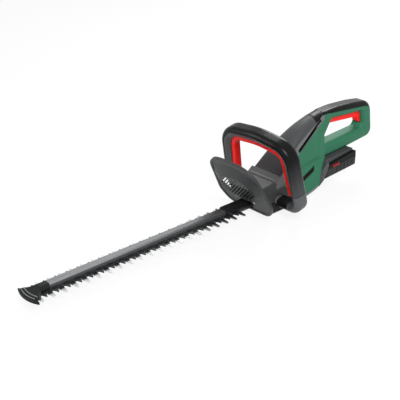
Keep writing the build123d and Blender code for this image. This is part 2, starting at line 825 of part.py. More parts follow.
with BuildPart() as gear_case_cover:
    add(side_slab(case_high, case_half))
    add(side_slab(case_high_inner, case_inner_half), mode=Mode.SUBTRACT)
    with BuildSketch(Plane.XY.offset(case_split_z)):
        with Locations(*case_screw_spots):
            Circle(screw_boss_radius)
    extrude(amount=plate_z - case_split_z)
    add(side_slab([(0, 0), (wide, 0), (wide, mouth_top), (0, mouth_top)], window_half), mode=Mode.SUBTRACT)
    with BuildSketch(Plane.XY.offset(plate_z)):
        with Locations((motor_x, 0)):
            Circle(motor_radius + sliding)
    extrude(amount=wide, mode=Mode.SUBTRACT)
    with BuildSketch(guard_plane):
        with Locations(*guard_screw_spots):
            Circle(case_screw_radius + running)
    extrude(amount=-2 * (guard_thick + case_wall), mode=Mode.SUBTRACT)
    with BuildSketch():
        with Locations(*case_screw_spots):
            Circle(case_screw_radius + running)
    extrude(amount=plate_z - case_wall, mode=Mode.SUBTRACT)
write_part(gear_case_cover, "gear_case_cover")

with BuildPart() as case_screws:
    with BuildSketch(Plane.XY.offset(bolt_head_height - sliding)):
        with Locations(*case_screw_spots):
            Circle(case_screw_head)
    extrude(amount=bolt_head_height + sliding)
    with BuildSketch(Plane.XY.offset(2 * bolt_head_height)):
        with Locations(*case_screw_spots):
            Circle(case_screw_radius)
    extrude(amount=plate_z - 2 * bolt_head_height - 2 * case_wall)
write_part(case_screws, "case_screws")

# Drive train
with BuildPart() as gear_plate:
    with BuildSketch(Plane.XY.offset(plate_z)):
        strip(case_rear_x + case_wall + seam, plate_front_x, case_inner_half - seam)
        Circle(bearing_radius, mode=Mode.SUBTRACT)
        with Locations((motor_x, 0)):
            Circle(pinion_pitch_radius, mode=Mode.SUBTRACT)
    extrude(amount=plate_thick)
write_part(gear_plate, "gear_plate")

with BuildPart() as gear_bearing:
    with BuildSketch(Plane.XY.offset(plate_z)):
        Circle(bearing_radius)
        Circle(hub_radius + running, mode=Mode.SUBTRACT)
    extrude(amount=plate_thick)
write_part(gear_bearing, "gear_bearing")

with BuildPart() as drive_gear:
    with BuildSketch(Plane.XY.offset(gear_z)):
        add(spur_outline(gear_teeth, 180.0))
        with Locations((0, -stroke_half)):
            Circle(shaft_radius + running, mode=Mode.SUBTRACT)
    extrude(amount=gear_height)
    with BuildSketch(Plane.XY.offset(gear_z + gear_height)):
        Circle(hub_radius)
    extrude(amount=plate_z + plate_thick - gear_z - gear_height)
write_part(drive_gear, "drive_gear")

with BuildPart() as crank_roller:
    with BuildSketch(Plane.XY.offset(cutter_z + sliding)):
        with Locations((0, -stroke_half)):
            Circle(roller_radius)
    extrude(amount=gear_z - cutter_z - 2 * sliding)
    with BuildSketch(Plane.XY.offset(cutter_z + sliding)):
        with Locations((0, -stroke_half)):
            Circle(shaft_radius)
    extrude(amount=gear_z + gear_height / 2 - cutter_z - sliding)
write_part(crank_roller, "crank_roller")

with BuildPart() as motor_pinion:
    with BuildSketch(Plane.XY.offset(gear_z)):
        with Locations((motor_x, 0)):
            add(spur_outline(pinion_teeth, 180.0 / pinion_teeth))
            Circle(shaft_radius, mode=Mode.SUBTRACT)
    extrude(amount=gear_height)
write_part(motor_pinion, "motor_pinion")

with BuildPart() as motor_rotor:
    with BuildSketch(Plane.XY.offset(gear_z)):
        with Locations((motor_x, 0)):
            Circle(shaft_radius)
    extrude(amount=motor_z + motor_height - gear_z)
    with BuildSketch(Plane.XY.offset(motor_z + 2 * motor_cap)):
        with Locations((motor_x, 0)):
            Circle(rotor_radius)
    extrude(amount=motor_height - 4 * motor_cap)
write_part(motor_rotor, "motor_rotor")

with BuildPart() as motor_can:
    with BuildSketch(Plane.XY.offset(motor_z)):
        with Locations((motor_x, 0)):
            Circle(motor_radius)
    extrude(amount=motor_height)
    with BuildSketch(Plane.XY.offset(motor_z + motor_cap)):
        with Locations((motor_x, 0)):
            Circle(motor_radius - motor_wall)
    extrude(amount=motor_height, mode=Mode.SUBTRACT)
    with BuildSketch(Plane.XY.offset(motor_z)):
        with Locations((motor_x, 0)):
            Circle(shaft_radius + running)
    extrude(amount=motor_height, mode=Mode.SUBTRACT)
write_part(motor_can, "motor_can")

with BuildPart() as motor_cap_plate:
    with BuildSketch(Plane.XY.offset(motor_z + motor_height)):
        with Locations((motor_x, 0)):
            Circle(motor_radius - motor_wall - running)
    extrude(amount=-motor_cap)
    with BuildSketch(Plane.XY.offset(motor_z + motor_height)):
        with Locations((motor_x, 0)):
            Circle(shaft_radius + running)
    extrude(amount=-motor_cap, mode=Mode.SUBTRACT)
write_part(motor_cap_plate, "motor_cap")

# Body shells cut from one form along the seam lines
outer_form = body_form(0.0)
inner_form = body_form(shell_wall)
skin_form = body_form(strip_depth)
screen_face = body_form(shell_wall + running)
screen_form = body_form(shell_wall + vent_screen)
sky = 2 * wide


def lowered(line, drop):
    """A seam line moved down by drop."""
    return [(x, z - drop) for x, z in line]


spine_zone = spine_line + [(spine_rear_x, sky), (spine_line[0][0], sky)]
front_grip_zone = grip_line[:3] + [
    (grip_split_x + seam, grip_seam_z), (grip_split_x + seam, sky), (spine_rear_x - seam, sky),
]
rear_grip_zone = [(grip_split_x, grip_seam_z)] + grip_line[3:] + [
    (grip_line[-1][0], sky), (grip_split_x, sky),
]
trim_zone = (
    [(stations[0][0], case_step_z + seam), (stations[0][0], case_brow_z - seam)] + lowered(spine_line, seam)
    + lowered(grip_line[1:2], seam) + [(trim_line[-1][0], grip_line[1][1] - seam)]
    + trim_line[::-1] + [(case_step_x - seam, case_step_z + seam)]
)
shell_zone = (
    [(case_rear_x - seam, -wide), (case_rear_x - seam, case_deck_z + seam)]
    + [(case_step_x - seam, case_deck_z + seam), (case_step_x - seam, case_step_z)]
    + lowered(trim_line, seam) + [(trim_line[-1][0] - seam, grip_line[2][1] - seam)]
    + lowered(grip_line[2:], seam) + [(-sky, grip_line[-1][1]), (-sky, -wide)]
)
collar_outline = [
    (collar_low_x, collar_low_z), collar_high, collar_heel, (case_front_x, case_brow_z + seam),
]

with BuildPart() as neck_collar:
    add(side_slab(collar_outline, collar_half))
    fillet(neck_collar.edges().filter_by(Axis.Y), radius=collar_round)
write_part(neck_collar, "neck_collar")

with BuildPart() as spine_cover:
    add(outer_form)
    add(side_slab(spine_zone), mode=Mode.INTERSECT)
    add(inner_form, mode=Mode.SUBTRACT)
    add(neck_collar.part, mode=Mode.SUBTRACT)
write_part(spine_cover, "spine_cover")

with BuildPart() as grip_cap:
    add(outer_form)
    add(side_slab(front_grip_zone), mode=Mode.INTERSECT)
    add(inner_form, mode=Mode.SUBTRACT)
write_part(grip_cap, "grip_cap")

with BuildPart() as rear_grip:
    add(outer_form)
    add(side_slab(rear_grip_zone), mode=Mode.INTERSECT)
    add(inner_form, mode=Mode.SUBTRACT)
write_part(rear_grip, "rear_grip")

vent_run = (vent_high[0] - vent_low[0], vent_high[1] - vent_low[1])
vent_middle = ((vent_low[0] + vent_high[0]) / 2, (vent_low[1] + vent_high[1]) / 2)
vent_length = (vent_run[0] ** 2 + vent_run[1] ** 2) ** 0.5
vent_angle = degrees(atan2(vent_run[1], vent_run[0]))


def vent_slot(grow):
    """Prism of the long vent slot on both sides, drawn out by grow."""
    with BuildPart() as slot:
        with BuildSketch(Plane.XZ):
            with Locations(vent_middle):
                SlotCenterToCenter(vent_length - vent_width, vent_width + 2 * grow, rotation=vent_angle)
        extrude(amount=wide, both=True)
    return slot.part


def half_of(shape, keep):
    """The left or the right half of a shape that stands on the tool's middle plane."""
    with BuildPart() as half:
        add(shape)
        split(bisect_by=Plane.XZ, keep=keep)
    return half.part


with BuildPart() as side_trims:
    add(outer_form)
    add(side_slab(trim_zone), mode=Mode.INTERSECT)
    add(inner_form, mode=Mode.SUBTRACT)
    add(vent_slot(0.0), mode=Mode.SUBTRACT)
    add(neck_collar.part, mode=Mode.SUBTRACT)

with BuildPart() as side_trim_left:
    add(half_of(side_trims.part, Keep.BOTTOM))
write_part(side_trim_left, "side_trim_left")

with BuildPart() as side_trim_right:
    add(half_of(side_trims.part, Keep.TOP))
write_part(side_trim_right, "side_trim_right")

with BuildPart() as vent_screens:
    add(screen_face)
    add(vent_slot(vent_screen), mode=Mode.INTERSECT)
    add(screen_form, mode=Mode.SUBTRACT)
write_part(vent_screens, "vent_screens")

strip_zone = side_slab([strip_front_low, strip_rear_low, strip_rear_high, strip_front_high])
with BuildPart() as side_strips:
    add(outer_form)
    add(strip_zone, mode=Mode.INTERSECT)
    add(skin_form, mode=Mode.SUBTRACT)
write_part(side_strips, "side_strips")

with BuildPart() as side_grooves:
    for k in range(2):
        low = k * groove_step
        add(side_slab([
            (groove_front[0], groove_front[1] - low), (groove_rear[0], groove_rear[1] - low),
            (groove_rear[0], groove_rear[1] - low + groove_width),
            (groove_front[0], groove_front[1] - low + groove_width),
        ]))
    add(skin_form, mode=Mode.SUBTRACT)

screw_spots = [(x, z) for x, z, seat in shell_screws]

with BuildPart() as housing:
    add(outer_form)
    add(side_slab(shell_zone), mode=Mode.INTERSECT)
    add(inner_form, mode=Mode.SUBTRACT)
    with BuildSketch(Plane.XZ):
        with Locations(*screw_spots):
            Circle(screw_boss_radius)
    extrude(amount=case_half, both=True)
    add(outer_form, mode=Mode.INTERSECT)
    with BuildSketch(Plane.XZ):
        with Locations(*screw_spots):
            Circle(screw_radius + running)
    extrude(amount=wide, mode=Mode.SUBTRACT)
    with BuildSketch(Plane.XZ):
        with Locations(*screw_spots):
            Circle(screw_radius + running)
    extrude(amount=-screw_bite - seam, mode=Mode.SUBTRACT)
    for x, z, seat in shell_screws:
        with BuildSketch(Plane.XZ.offset(seat)):
            with Locations((x, z)):
                Circle(screw_head_radius + sliding)
        extrude(amount=wide, mode=Mode.SUBTRACT)
    add(side_slab(trigger_well, trigger_half + trigger_gap), mode=Mode.SUBTRACT)
    with BuildSketch(Plane.XZ):
        with Locations(trigger_pivot):
            Circle(trigger_pin_radius + running)
    extrude(amount=trigger_pin_half, both=True, mode=Mode.SUBTRACT)
    add(side_strips.part, mode=Mode.SUBTRACT)
    add(side_grooves.part, mode=Mode.SUBTRACT)

with BuildPart() as housing_left:
    add(half_of(housing.part, Keep.BOTTOM))
write_part(housing_left, "housing_left")

with BuildPart() as housing_right:
    add(half_of(housing.part, Keep.TOP))
write_part(housing_right, "housing_right")

with BuildPart() as housing_screws:
    for x, z, seat in shell_screws:
        with BuildSketch(Plane.XZ.offset(seat)):
            with Locations((x, z)):
                Circle(screw_head_radius)
        extrude(amount=screw_head_height)
        with BuildSketch(Plane.XZ.offset(seat)):
            with Locations((x, z)):
                Circle(screw_radius)
        extrude(amount=-seat - screw_bite)
write_part(housing_screws, "housing_screws")

# Rear trigger and its switch
with BuildPart() as rear_trigger:
    with BuildSketch(Plane.XZ):
        with BuildLine():
            FilletPolyline(*trigger_outline, radius=trigger_round, close=True)
        make_face()
        with Locations(trigger_pivot):
            Circle(trigger_boss_radius)
            Circle(trigger_pin_radius + running, mode=Mode.SUBTRACT)
    extrude(amount=trigger_half, both=True)
write_part(rear_trigger, "rear_trigger")

with BuildPart() as trigger_pin:
    with BuildSketch(Plane.XZ):
        with Locations(trigger_pivot):
            Circle(trigger_pin_radius)
    extrude(amount=trigger_pin_half, both=True)
write_part(trigger_pin, "trigger_pin")

handle_hollow_half = handle_half - shell_wall - seam
with BuildPart() as trigger_switch:
    with BuildSketch(Plane.XZ):
        with Locations(switch_spot):
            Rectangle(switch_length, switch_height)
    extrude(amount=handle_hollow_half, both=True)
write_part(trigger_switch, "trigger_switch")

with BuildPart() as control_board:
    with BuildSketch(Plane.XZ):
        with Locations(board_spot):
            Rectangle(board_length, board_thick)
    extrude(amount=handle_hollow_half, both=True)
    with BuildSketch(Plane.XZ):
        with Locations((board_spot[0], board_spot[1] + board_thick / 2 + board_chip / 2)):
            Rectangle(board_length / 3, board_chip)
    extrude(amount=handle_hollow_half / 2, both=True)
write_part(control_board, "control_board")

# Loop handle
ring_form = loop_ring()
grip_form = grip_zone()

with BuildPart() as bar_groove:
    with BuildSketch(loop_plane):
        add(loop_face(loop_inner, loop_inner_radii, bar_groove_depth))
    extrude(amount=switch_bar_depth / 2 + sliding, both=True)
    add(loop_below(switch_bar_low - sliding), mode=Mode.SUBTRACT)

with BuildPart() as loop_frame:
    add(ring_form)
    add(grip_form, mode=Mode.SUBTRACT)
    add(grip_line_zone(), mode=Mode.SUBTRACT)
    add(bar_groove.part, mode=Mode.SUBTRACT)
    with BuildSketch():
        Rectangle(wide, 2 * loop_foot_y)
    extrude(amount=loop_z + loop_inner[2][1] / 2, mode=Mode.SUBTRACT)
    with BuildSketch(Plane.XZ):
        with Locations(*loop_bolt_spots):
            Circle(bolt_radius + running)
    extrude(amount=loop_foot_y + loop_bolt_bite + seam, both=True, mode=Mode.SUBTRACT)

with BuildPart() as loop_front_shell:
    add(loop_frame.part)
    split(bisect_by=loop_plane, keep=Keep.TOP)
write_part(loop_front_shell, "loop_front_shell")

with BuildPart() as loop_rear_shell:
    add(loop_frame.part)
    split(bisect_by=loop_plane, keep=Keep.BOTTOM)
write_part(loop_rear_shell, "loop_rear_shell")

with BuildPart() as loop_grip:
    add(ring_form)
    add(grip_form, mode=Mode.INTERSECT)
write_part(loop_grip, "loop_grip")

with BuildPart() as loop_switch_bar:
    with BuildSketch(loop_plane):
        add(loop_face(loop_inner, loop_inner_radii, switch_bar_sink))
    extrude(amount=switch_bar_depth / 2, both=True)
    with BuildSketch(loop_plane):
        add(loop_face(loop_inner, loop_inner_radii, -switch_bar_proud))
    extrude(amount=loop_depth, both=True, mode=Mode.SUBTRACT)
    add(loop_below(switch_bar_low), mode=Mode.SUBTRACT)
write_part(loop_switch_bar, "loop_switch_bar")

with BuildPart() as loop_clamps:
    for side in (-1, 1):
        with BuildSketch(Plane.XZ.offset(side * case_half)):
            with Locations((clamp_x, clamp_z)):
                Circle(clamp_radius)
            with Locations(*loop_bolt_spots):
                Circle(bolt_radius + running, mode=Mode.SUBTRACT)
        extrude(amount=side * clamp_thick)
write_part(loop_clamps, "loop_clamps")

with BuildPart() as loop_bolts:
    for side in (-1, 1):
        with BuildSketch(Plane.XZ.offset(side * case_inner_half)):
            with Locations(*loop_bolt_spots):
                Circle(bolt_radius)
        extrude(amount=side * (loop_foot_y + loop_bolt_bite - case_inner_half))
        with BuildSketch(Plane.XZ.offset(side * case_inner_half)):
            with Locations(*loop_bolt_spots):
                Circle(bolt_head_radius)
        extrude(amount=-side * bolt_head_height)
write_part(loop_bolts, "loop_bolts")

# Battery foot: a front wall against the body and a railed plate under the handle
def handle_floor(x):
    """Height of the rear handle's underside at x, where the foot lies against it."""
    (x_rear, z_rear), (x_front, z_front) = handle_outline[-2:]
    return z_rear + (x - x_rear) * (z_front - z_rear) / (x_front - x_rear)


wall_zone = [
    (stations[-1][0] - seam, stations[-1][1] + foot_lift),
    (tail_stations[0][0] - seam, tail_stations[0][1] - seam),
    (tail_stations[1][0], tail_stations[1][1] - shell_wall / 2),
    pack_point(pack_front_top - rail_gap, rail_gap),
    pack_point(pack_front_low - rail_gap, -pack_height + rail_gap),
    pack_point(pack_front_low - foot_lip, -pack_height - foot_lip),
]
plate_zone = [
    (tail_stations[1][0], handle_floor(tail_stations[1][0]) - seam),
    (pack_point(foot_length, 0)[0], handle_floor(pack_point(foot_length, 0)[0]) - seam),
    pack_point(foot_length, pack_rise + rail_gap), pack_point(pack_front_top, rail_gap),
    pack_point(0, rail_gap),
]
channel_top = rail_stem + rail_flange + rail_gap

with BuildPart() as battery_foot:
    add(side_slab(wall_zone, foot_wall_half))
    rims = battery_foot.edges().group_by(Axis.Y)
    fillet([edge for rim in (rims[0], rims[-1]) for edge in rim.sort_by(Axis.Z)[:3]], radius=foot_round)
    add(side_slab(plate_zone, foot_half))
    add(outer_form, mode=Mode.SUBTRACT)
    with BuildSketch(pack_end_plane.offset(rail_start - terminal_length)):
        with Locations((0, (rail_stem + channel_top) / 2)):
            Rectangle(2 * (rail_half + rail_gap), channel_top - rail_stem)
        with Locations((0, rail_stem / 2)):
            Rectangle(2 * (rail_throat_half + rail_gap), 2 * rail_stem)
    extrude(amount=wide, mode=Mode.SUBTRACT)
write_part(battery_foot, "battery_foot")

with BuildPart() as foot_terminals:
    with BuildSketch(pack_end_plane.offset(rail_start - terminal_length)):
        with Locations((0, (rail_stem + channel_top) / 2)):
            Rectangle(2 * rail_throat_half, channel_top - rail_stem)
    extrude(amount=terminal_length / 2)
    with BuildSketch(pack_end_plane.offset(rail_start - terminal_length)):
        with Locations(*[(y, (rail_stem + channel_top) / 2) for y in terminal_ys]):
            Rectangle(terminal_blade, channel_top - rail_stem - 2 * terminal_blade)
    extrude(amount=terminal_length + terminal_reach)
write_part(foot_terminals, "foot_terminals")

# Battery pack
def pack_front(w):
    """Length at which the pack's slanting front stands at a height."""
    return pack_front_top + (pack_front_low - pack_front_top) * -w / pack_height


pack_low_zone = [
    (pack_front(pack_split), pack_split), (pack_front_low, -pack_height),
    (pack_length - pack_rake, -pack_height), (pack_length, pack_split),
]
pack_low_hollow = [
    (pack_front(pack_split) + pack_wall, 0), (pack_front_low + 2 * pack_wall, -pack_height + pack_wall),
    (pack_length - pack_rake - pack_wall, -pack_height + pack_wall), (pack_length - pack_wall, 0),
]
pack_high_zone = [
    (pack_front(pack_split), pack_split), (pack_front_top, 0),
    (pack_length, pack_rise), (pack_length, pack_split),
]
pack_high_hollow = [
    (pack_front(pack_split) + pack_wall, pack_split), (pack_front_top + pack_wall, -pack_wall),
    (pack_length - pack_wall, pack_rise - pack_wall), (pack_length - pack_wall, pack_split),
]
button_middle = (button_start + button_length / 2, (pack_split - pack_wall) / 2)


def pack_slab(points, half):
    """Prism across the pack with an outline given along and above the rails."""
    with BuildPart() as slab:
        with BuildSketch(pack_plane):
            Polygon(*points, align=None)
        extrude(amount=half, both=True)
    return slab.part


with BuildPart() as pack_case_tray:
    add(pack_slab(pack_low_zone, pack_half))
    long_edges = pack_case_tray.edges().filter_by(lambda edge: abs(edge.tangent_at(0).Y) < 0.5)
    fillet(long_edges.sort_by(Axis.Z)[:2], radius=pack_round)
    add(pack_slab(pack_low_hollow, pack_half - pack_wall), mode=Mode.SUBTRACT)
write_part(pack_case_tray, "pack_case_tray")

with BuildPart() as pack_case_lid:
    add(pack_slab(pack_high_zone, pack_half))
    add(pack_slab(pack_high_hollow, pack_half - pack_wall), mode=Mode.SUBTRACT)
    with BuildSketch(pack_end_plane.offset(rail_start)):
        with Locations((0, rail_stem / 2)):
            Rectangle(2 * rail_throat_half, rail_stem + 2 * rail_gap)
        with Locations((0, rail_stem + rail_gap + rail_flange / 2 - rail_gap / 2)):
            Rectangle(2 * rail_half, rail_flange - rail_gap)
    extrude(amount=rail_end - rail_start)
    with BuildSketch(pack_end_plane.offset(rail_start)):
        with Locations(*[(y, (rail_stem + channel_top) / 2) for y in terminal_ys]):
            Rectangle(2 * terminal_blade, channel_top)
    extrude(amount=2 * terminal_reach, mode=Mode.SUBTRACT)
    with BuildSketch(pack_plane):
        with Locations(button_middle):
            Rectangle(button_length + 2 * sliding, button_height + 2 * sliding)
    extrude(amount=wide, both=True, mode=Mode.SUBTRACT)
write_part(pack_case_lid, "pack_case_lid")

with BuildPart() as pack_cells:
    with BuildSketch(pack_plane):
        with Locations(*[(cell_first + cell_step * k, cell_height) for k in range(cell_count)]):
            Circle(cell_radius)
    extrude(amount=cell_length / 2, both=True)
write_part(pack_cells, "pack_cells")

for side, name in ((1, "release_button_left"), (-1, "release_button_right")):
    with BuildPart() as release_button:
        with BuildSketch(pack_plane.offset(side * (pack_half + button_proud))):
            with Locations(button_middle):
                RectangleRounded(button_length, button_height, button_height / 4)
        extrude(amount=-side * button_depth)
    write_part(release_button, name)
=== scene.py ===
"""Looks of a cordless hedge trimmer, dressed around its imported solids."""

import json
import logging
import math
from dataclasses import dataclass, field
from enum import Enum
from typing import Any, Optional, Union

import bmesh
import bpy
from mathutils import Matrix, Vector
from mathutils.bvhtree import BVHTree

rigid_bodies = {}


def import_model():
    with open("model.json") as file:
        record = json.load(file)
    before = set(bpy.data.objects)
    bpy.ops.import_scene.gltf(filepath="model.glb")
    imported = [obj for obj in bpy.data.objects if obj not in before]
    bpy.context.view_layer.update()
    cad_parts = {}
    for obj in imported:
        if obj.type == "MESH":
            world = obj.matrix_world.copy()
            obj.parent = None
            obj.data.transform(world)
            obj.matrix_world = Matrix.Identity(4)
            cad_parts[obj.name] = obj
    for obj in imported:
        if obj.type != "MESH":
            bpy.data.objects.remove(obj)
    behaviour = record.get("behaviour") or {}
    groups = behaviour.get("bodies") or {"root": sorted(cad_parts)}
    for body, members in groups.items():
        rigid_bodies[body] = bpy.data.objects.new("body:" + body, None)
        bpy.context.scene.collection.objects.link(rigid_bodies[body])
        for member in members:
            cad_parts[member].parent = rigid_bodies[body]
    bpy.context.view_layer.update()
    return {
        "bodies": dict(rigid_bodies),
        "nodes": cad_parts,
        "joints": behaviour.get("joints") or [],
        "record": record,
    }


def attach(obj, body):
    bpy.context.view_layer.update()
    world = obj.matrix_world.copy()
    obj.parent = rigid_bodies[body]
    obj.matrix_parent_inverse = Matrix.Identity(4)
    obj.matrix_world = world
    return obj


LOG = logging.getLogger("hedge_trimmer")

Colour = tuple[float, float, float]
Point = tuple[float, float, float]
Span = tuple[float, float]
Frame = dict[str, Any]
Socket = bpy.types.NodeSocket
Paint = Union[Colour, Socket]
Number = Union[float, "Signal"]

WHITE = (1.0, 1.0, 1.0, 1.0)
UP = Vector((0.0, 0.0, 1.0))
DOWN = Vector((0.0, 0.0, -1.0))

# Sockets of the Mix node when it mixes colours.
MIX_SHARE, MIX_LOW, MIX_HIGH, MIX_RESULT = 0, 6, 7, 2

# Rays that the Bevel node spends on a rounded edge.
EDGE_SAMPLES = 6

# The value around which a noise pattern swings.
NOISE_MIDDLE = 0.5

# Middle of a prism's rounded edge, in shares of the bevel: from the side, and below the top.
BEVEL_MIDDLE_IN, BEVEL_MIDDLE_DOWN = 0.45, 0.2


class Side(Enum):
    """The two flanks of the tool."""

    LEFT = 1.0
    RIGHT = -1.0


class Signal:
    """A number that varies over a surface, worked with ordinary operators."""

    def __init__(self, graph: "Graph", socket: Socket) -> None:
        """Keep the graph and the output socket that carries the number."""
        self.graph = graph
        self.socket = socket

    def _math(self, operation: str, other: Number, flipped: bool = False) -> "Signal":
        """Add one Math node.

        Args:
            operation: the Math node's operation.
            other: the second number.
            flipped: whether the other number comes first.

        Returns:
            The result as a new signal.
        """
        first, second = (other, self) if flipped else (self, other)
        made = self.graph.node("ShaderNodeMath", {"operation": operation}, {0: first, 1: second})
        return Signal(self.graph, made.outputs[0])

    def __add__(self, other: Number) -> "Signal":
        """Sum."""
        return self._math("ADD", other)

    def __radd__(self, other: Number) -> "Signal":
        """Sum with the number first."""
        return self._math("ADD", other, True)

    def __sub__(self, other: Number) -> "Signal":
        """Difference."""
        return self._math("SUBTRACT", other)

    def __rsub__(self, other: Number) -> "Signal":
        """Difference with the number first."""
        return self._math("SUBTRACT", other, True)

    def __mul__(self, other: Number) -> "Signal":
        """Product."""
        return self._math("MULTIPLY", other)

    def __rmul__(self, other: Number) -> "Signal":
        """Product with the number first."""
        return self._math("MULTIPLY", other, True)

    def __abs__(self) -> "Signal":
        """Size without sign."""
        return self._math("ABSOLUTE", 0.0)

    def wave(self) -> "Signal":
        """Sine of the number."""
        return self._math("SINE", 0.0)

    def least(self, other: Number) -> "Signal":
        """The smaller of two numbers."""
        return self._math("MINIMUM", other)

    def most(self, other: Number) -> "Signal":
        """The larger of two numbers."""
        return self._math("MAXIMUM", other)

    def rise(self, low: float, high: float) -> "Signal":
        """Smooth step that leaves 0 at the low value and reaches 1 at the high one."""
        made = self.graph.node(
            "ShaderNodeMapRange", {"interpolation_type": "SMOOTHSTEP"}, {0: self, 1: low, 2: high},
        )
        return Signal(self.graph, made.outputs[0])

    def band(self, centre: float, half: float, soft: float) -> "Signal":
        """A stripe that is 1 to half its width around a centre and fades over a soft width."""
        return 1.0 - abs(self - centre).rise(half, half + soft)


class Graph:
    """The nodes of one material or of the world."""

    def __init__(self, owner: Union[bpy.types.Material, bpy.types.World]) -> None:
        """Start with no nodes.

        Args:
            owner: the material or world that the nodes belong to.
        """
        owner.use_nodes = True
        self.tree = owner.node_tree
        self.tree.nodes.clear()

    def node(
        self,
        kind: str,
        settings: Optional[dict[str, Any]] = None,
        inputs: Optional[dict[Union[int, str], Any]] = None,
    ) -> bpy.types.Node:
        """Add any node.

        Args:
            kind: the node's type.
            settings: its properties, set first.
            inputs: values or links of its sockets, by name or index.

        Returns:
            The new node.
        """
        made = self.tree.nodes.new(kind)
        for key, value in (settings or {}).items():
            setattr(made, key, value)
        for key, value in (inputs or {}).items():
            target = made.inputs[key]
            if isinstance(value, Signal):
                self.tree.links.new(value.socket, target)
            elif isinstance(value, Socket):
                self.tree.links.new(value, target)
            else:
                target.default_value = value
        return made

    def place(self) -> Socket:
        """Position on the piece, in metres, which moves with it."""
        return self.node("ShaderNodeTexCoord").outputs["Object"]

    def axes(self, vector: Socket) -> tuple[Signal, Signal, Signal]:
        """The three parts of a vector."""
        made = self.node("ShaderNodeSeparateXYZ", None, {0: vector})
        return tuple(Signal(self, part) for part in made.outputs)

    def stretched(self, vector: Socket, scale: Point) -> Socket:
        """A vector scaled axis by axis."""
        made = self.node("ShaderNodeVectorMath", {"operation": "MULTIPLY"}, {0: vector, 1: scale})
        return made.outputs[0]

    def noise(self, vector: Socket, scale: float, detail: float) -> Signal:
        """Soft random pattern of about 0 to 1, by its patches per metre and its finer layers."""
        inputs = {"Vector": vector, "Scale": scale, "Detail": detail}
        return Signal(self, self.node("ShaderNodeTexNoise", None, inputs).outputs[0])

    def cells(self, vector: Socket, scale: float) -> Signal:
        """Distance from the middle of small random cells, by their number per metre."""
        made = self.node("ShaderNodeTexVoronoi", None, {"Vector": vector, "Scale": scale})
        return Signal(self, made.outputs["Distance"])

    def blend(self, share: Number, low: Paint, high: Paint) -> Socket:
        """Mix two colours.

        Args:
            share: how much of the second.
            low: the first colour or its socket.
            high: the second colour or its socket.

        Returns:
            The mixed colour's socket.
        """
        inputs = {MIX_SHARE: share}
        for key, value in ((MIX_LOW, low), (MIX_HIGH, high)):
            inputs[key] = value if isinstance(value, Socket) else (*value, 1.0)
        return self.node("ShaderNodeMix", {"data_type": "RGBA"}, inputs).outputs[MIX_RESULT]

    def soft_edges(self, radius: float) -> tuple[Socket, Signal]:
        """Round the look of sharp edges.

        Args:
            radius: how far from the edge the rounding reaches.

        Returns:
            The rounded normal and a signal that grows at the edges.
        """
        bevel = self.node("ShaderNodeBevel", {"samples": EDGE_SAMPLES}, {"Radius": radius})
        rounded = bevel.outputs[0]
        flat = self.node("ShaderNodeNewGeometry").outputs["Normal"]
        made = self.node(
            "ShaderNodeVectorMath", {"operation": "DOT_PRODUCT"}, {0: rounded, 1: flat},
        )
        return rounded, 1.0 - Signal(self, made.outputs["Value"])

    def relief(self, height: Signal, depth: float, normal: Socket) -> Socket:
        """The normal of a surface with a pattern raised from it, to a depth in metres."""
        inputs = {"Strength": 1.0, "Distance": depth, "Height": height, "Normal": normal}
        return self.node("ShaderNodeBump", None, inputs).outputs[0]

    def seen(self) -> Signal:
        """What the camera sees straight, mirrored or through a clear piece.

        Returns:
            A signal that is 1 there and 0 for all other light.
        """
        rays = self.node("ShaderNodeLightPath").outputs
        names = ("Is Camera Ray", "Is Glossy Ray", "Is Transmission Ray")
        straight, mirrored, through = (Signal(self, rays[name]) for name in names)
        return straight.most(mirrored).most(through)


@dataclass(frozen=True)
class Finish:
    """A surface finish; each kind says how it is shaded."""

    name: str
    colour: Colour
    roughness: float = 0.45
    edge: float = 0.0007
    gloss: float = 0.25

    def shade(self, graph: Graph) -> bpy.types.Node:
        """Build the shader nodes; each kind of finish has its own."""
        raise NotImplementedError

    def material(self) -> bpy.types.Material:
        """Find or make the finish's material.

        Returns:
            The material, made once.
        """
        known = bpy.data.materials.get(self.name)
        if known is not None:
            return known
        made = bpy.data.materials.new(self.name)
        graph = Graph(made)
        graph.node("ShaderNodeOutputMaterial", None, {"Surface": self.shade(graph).outputs[0]})
        return made

    def tint(self, factor: float) -> Colour:
        """The finish's colour made lighter or darker."""
        return tuple(min(1.0, part * factor) for part in self.colour)


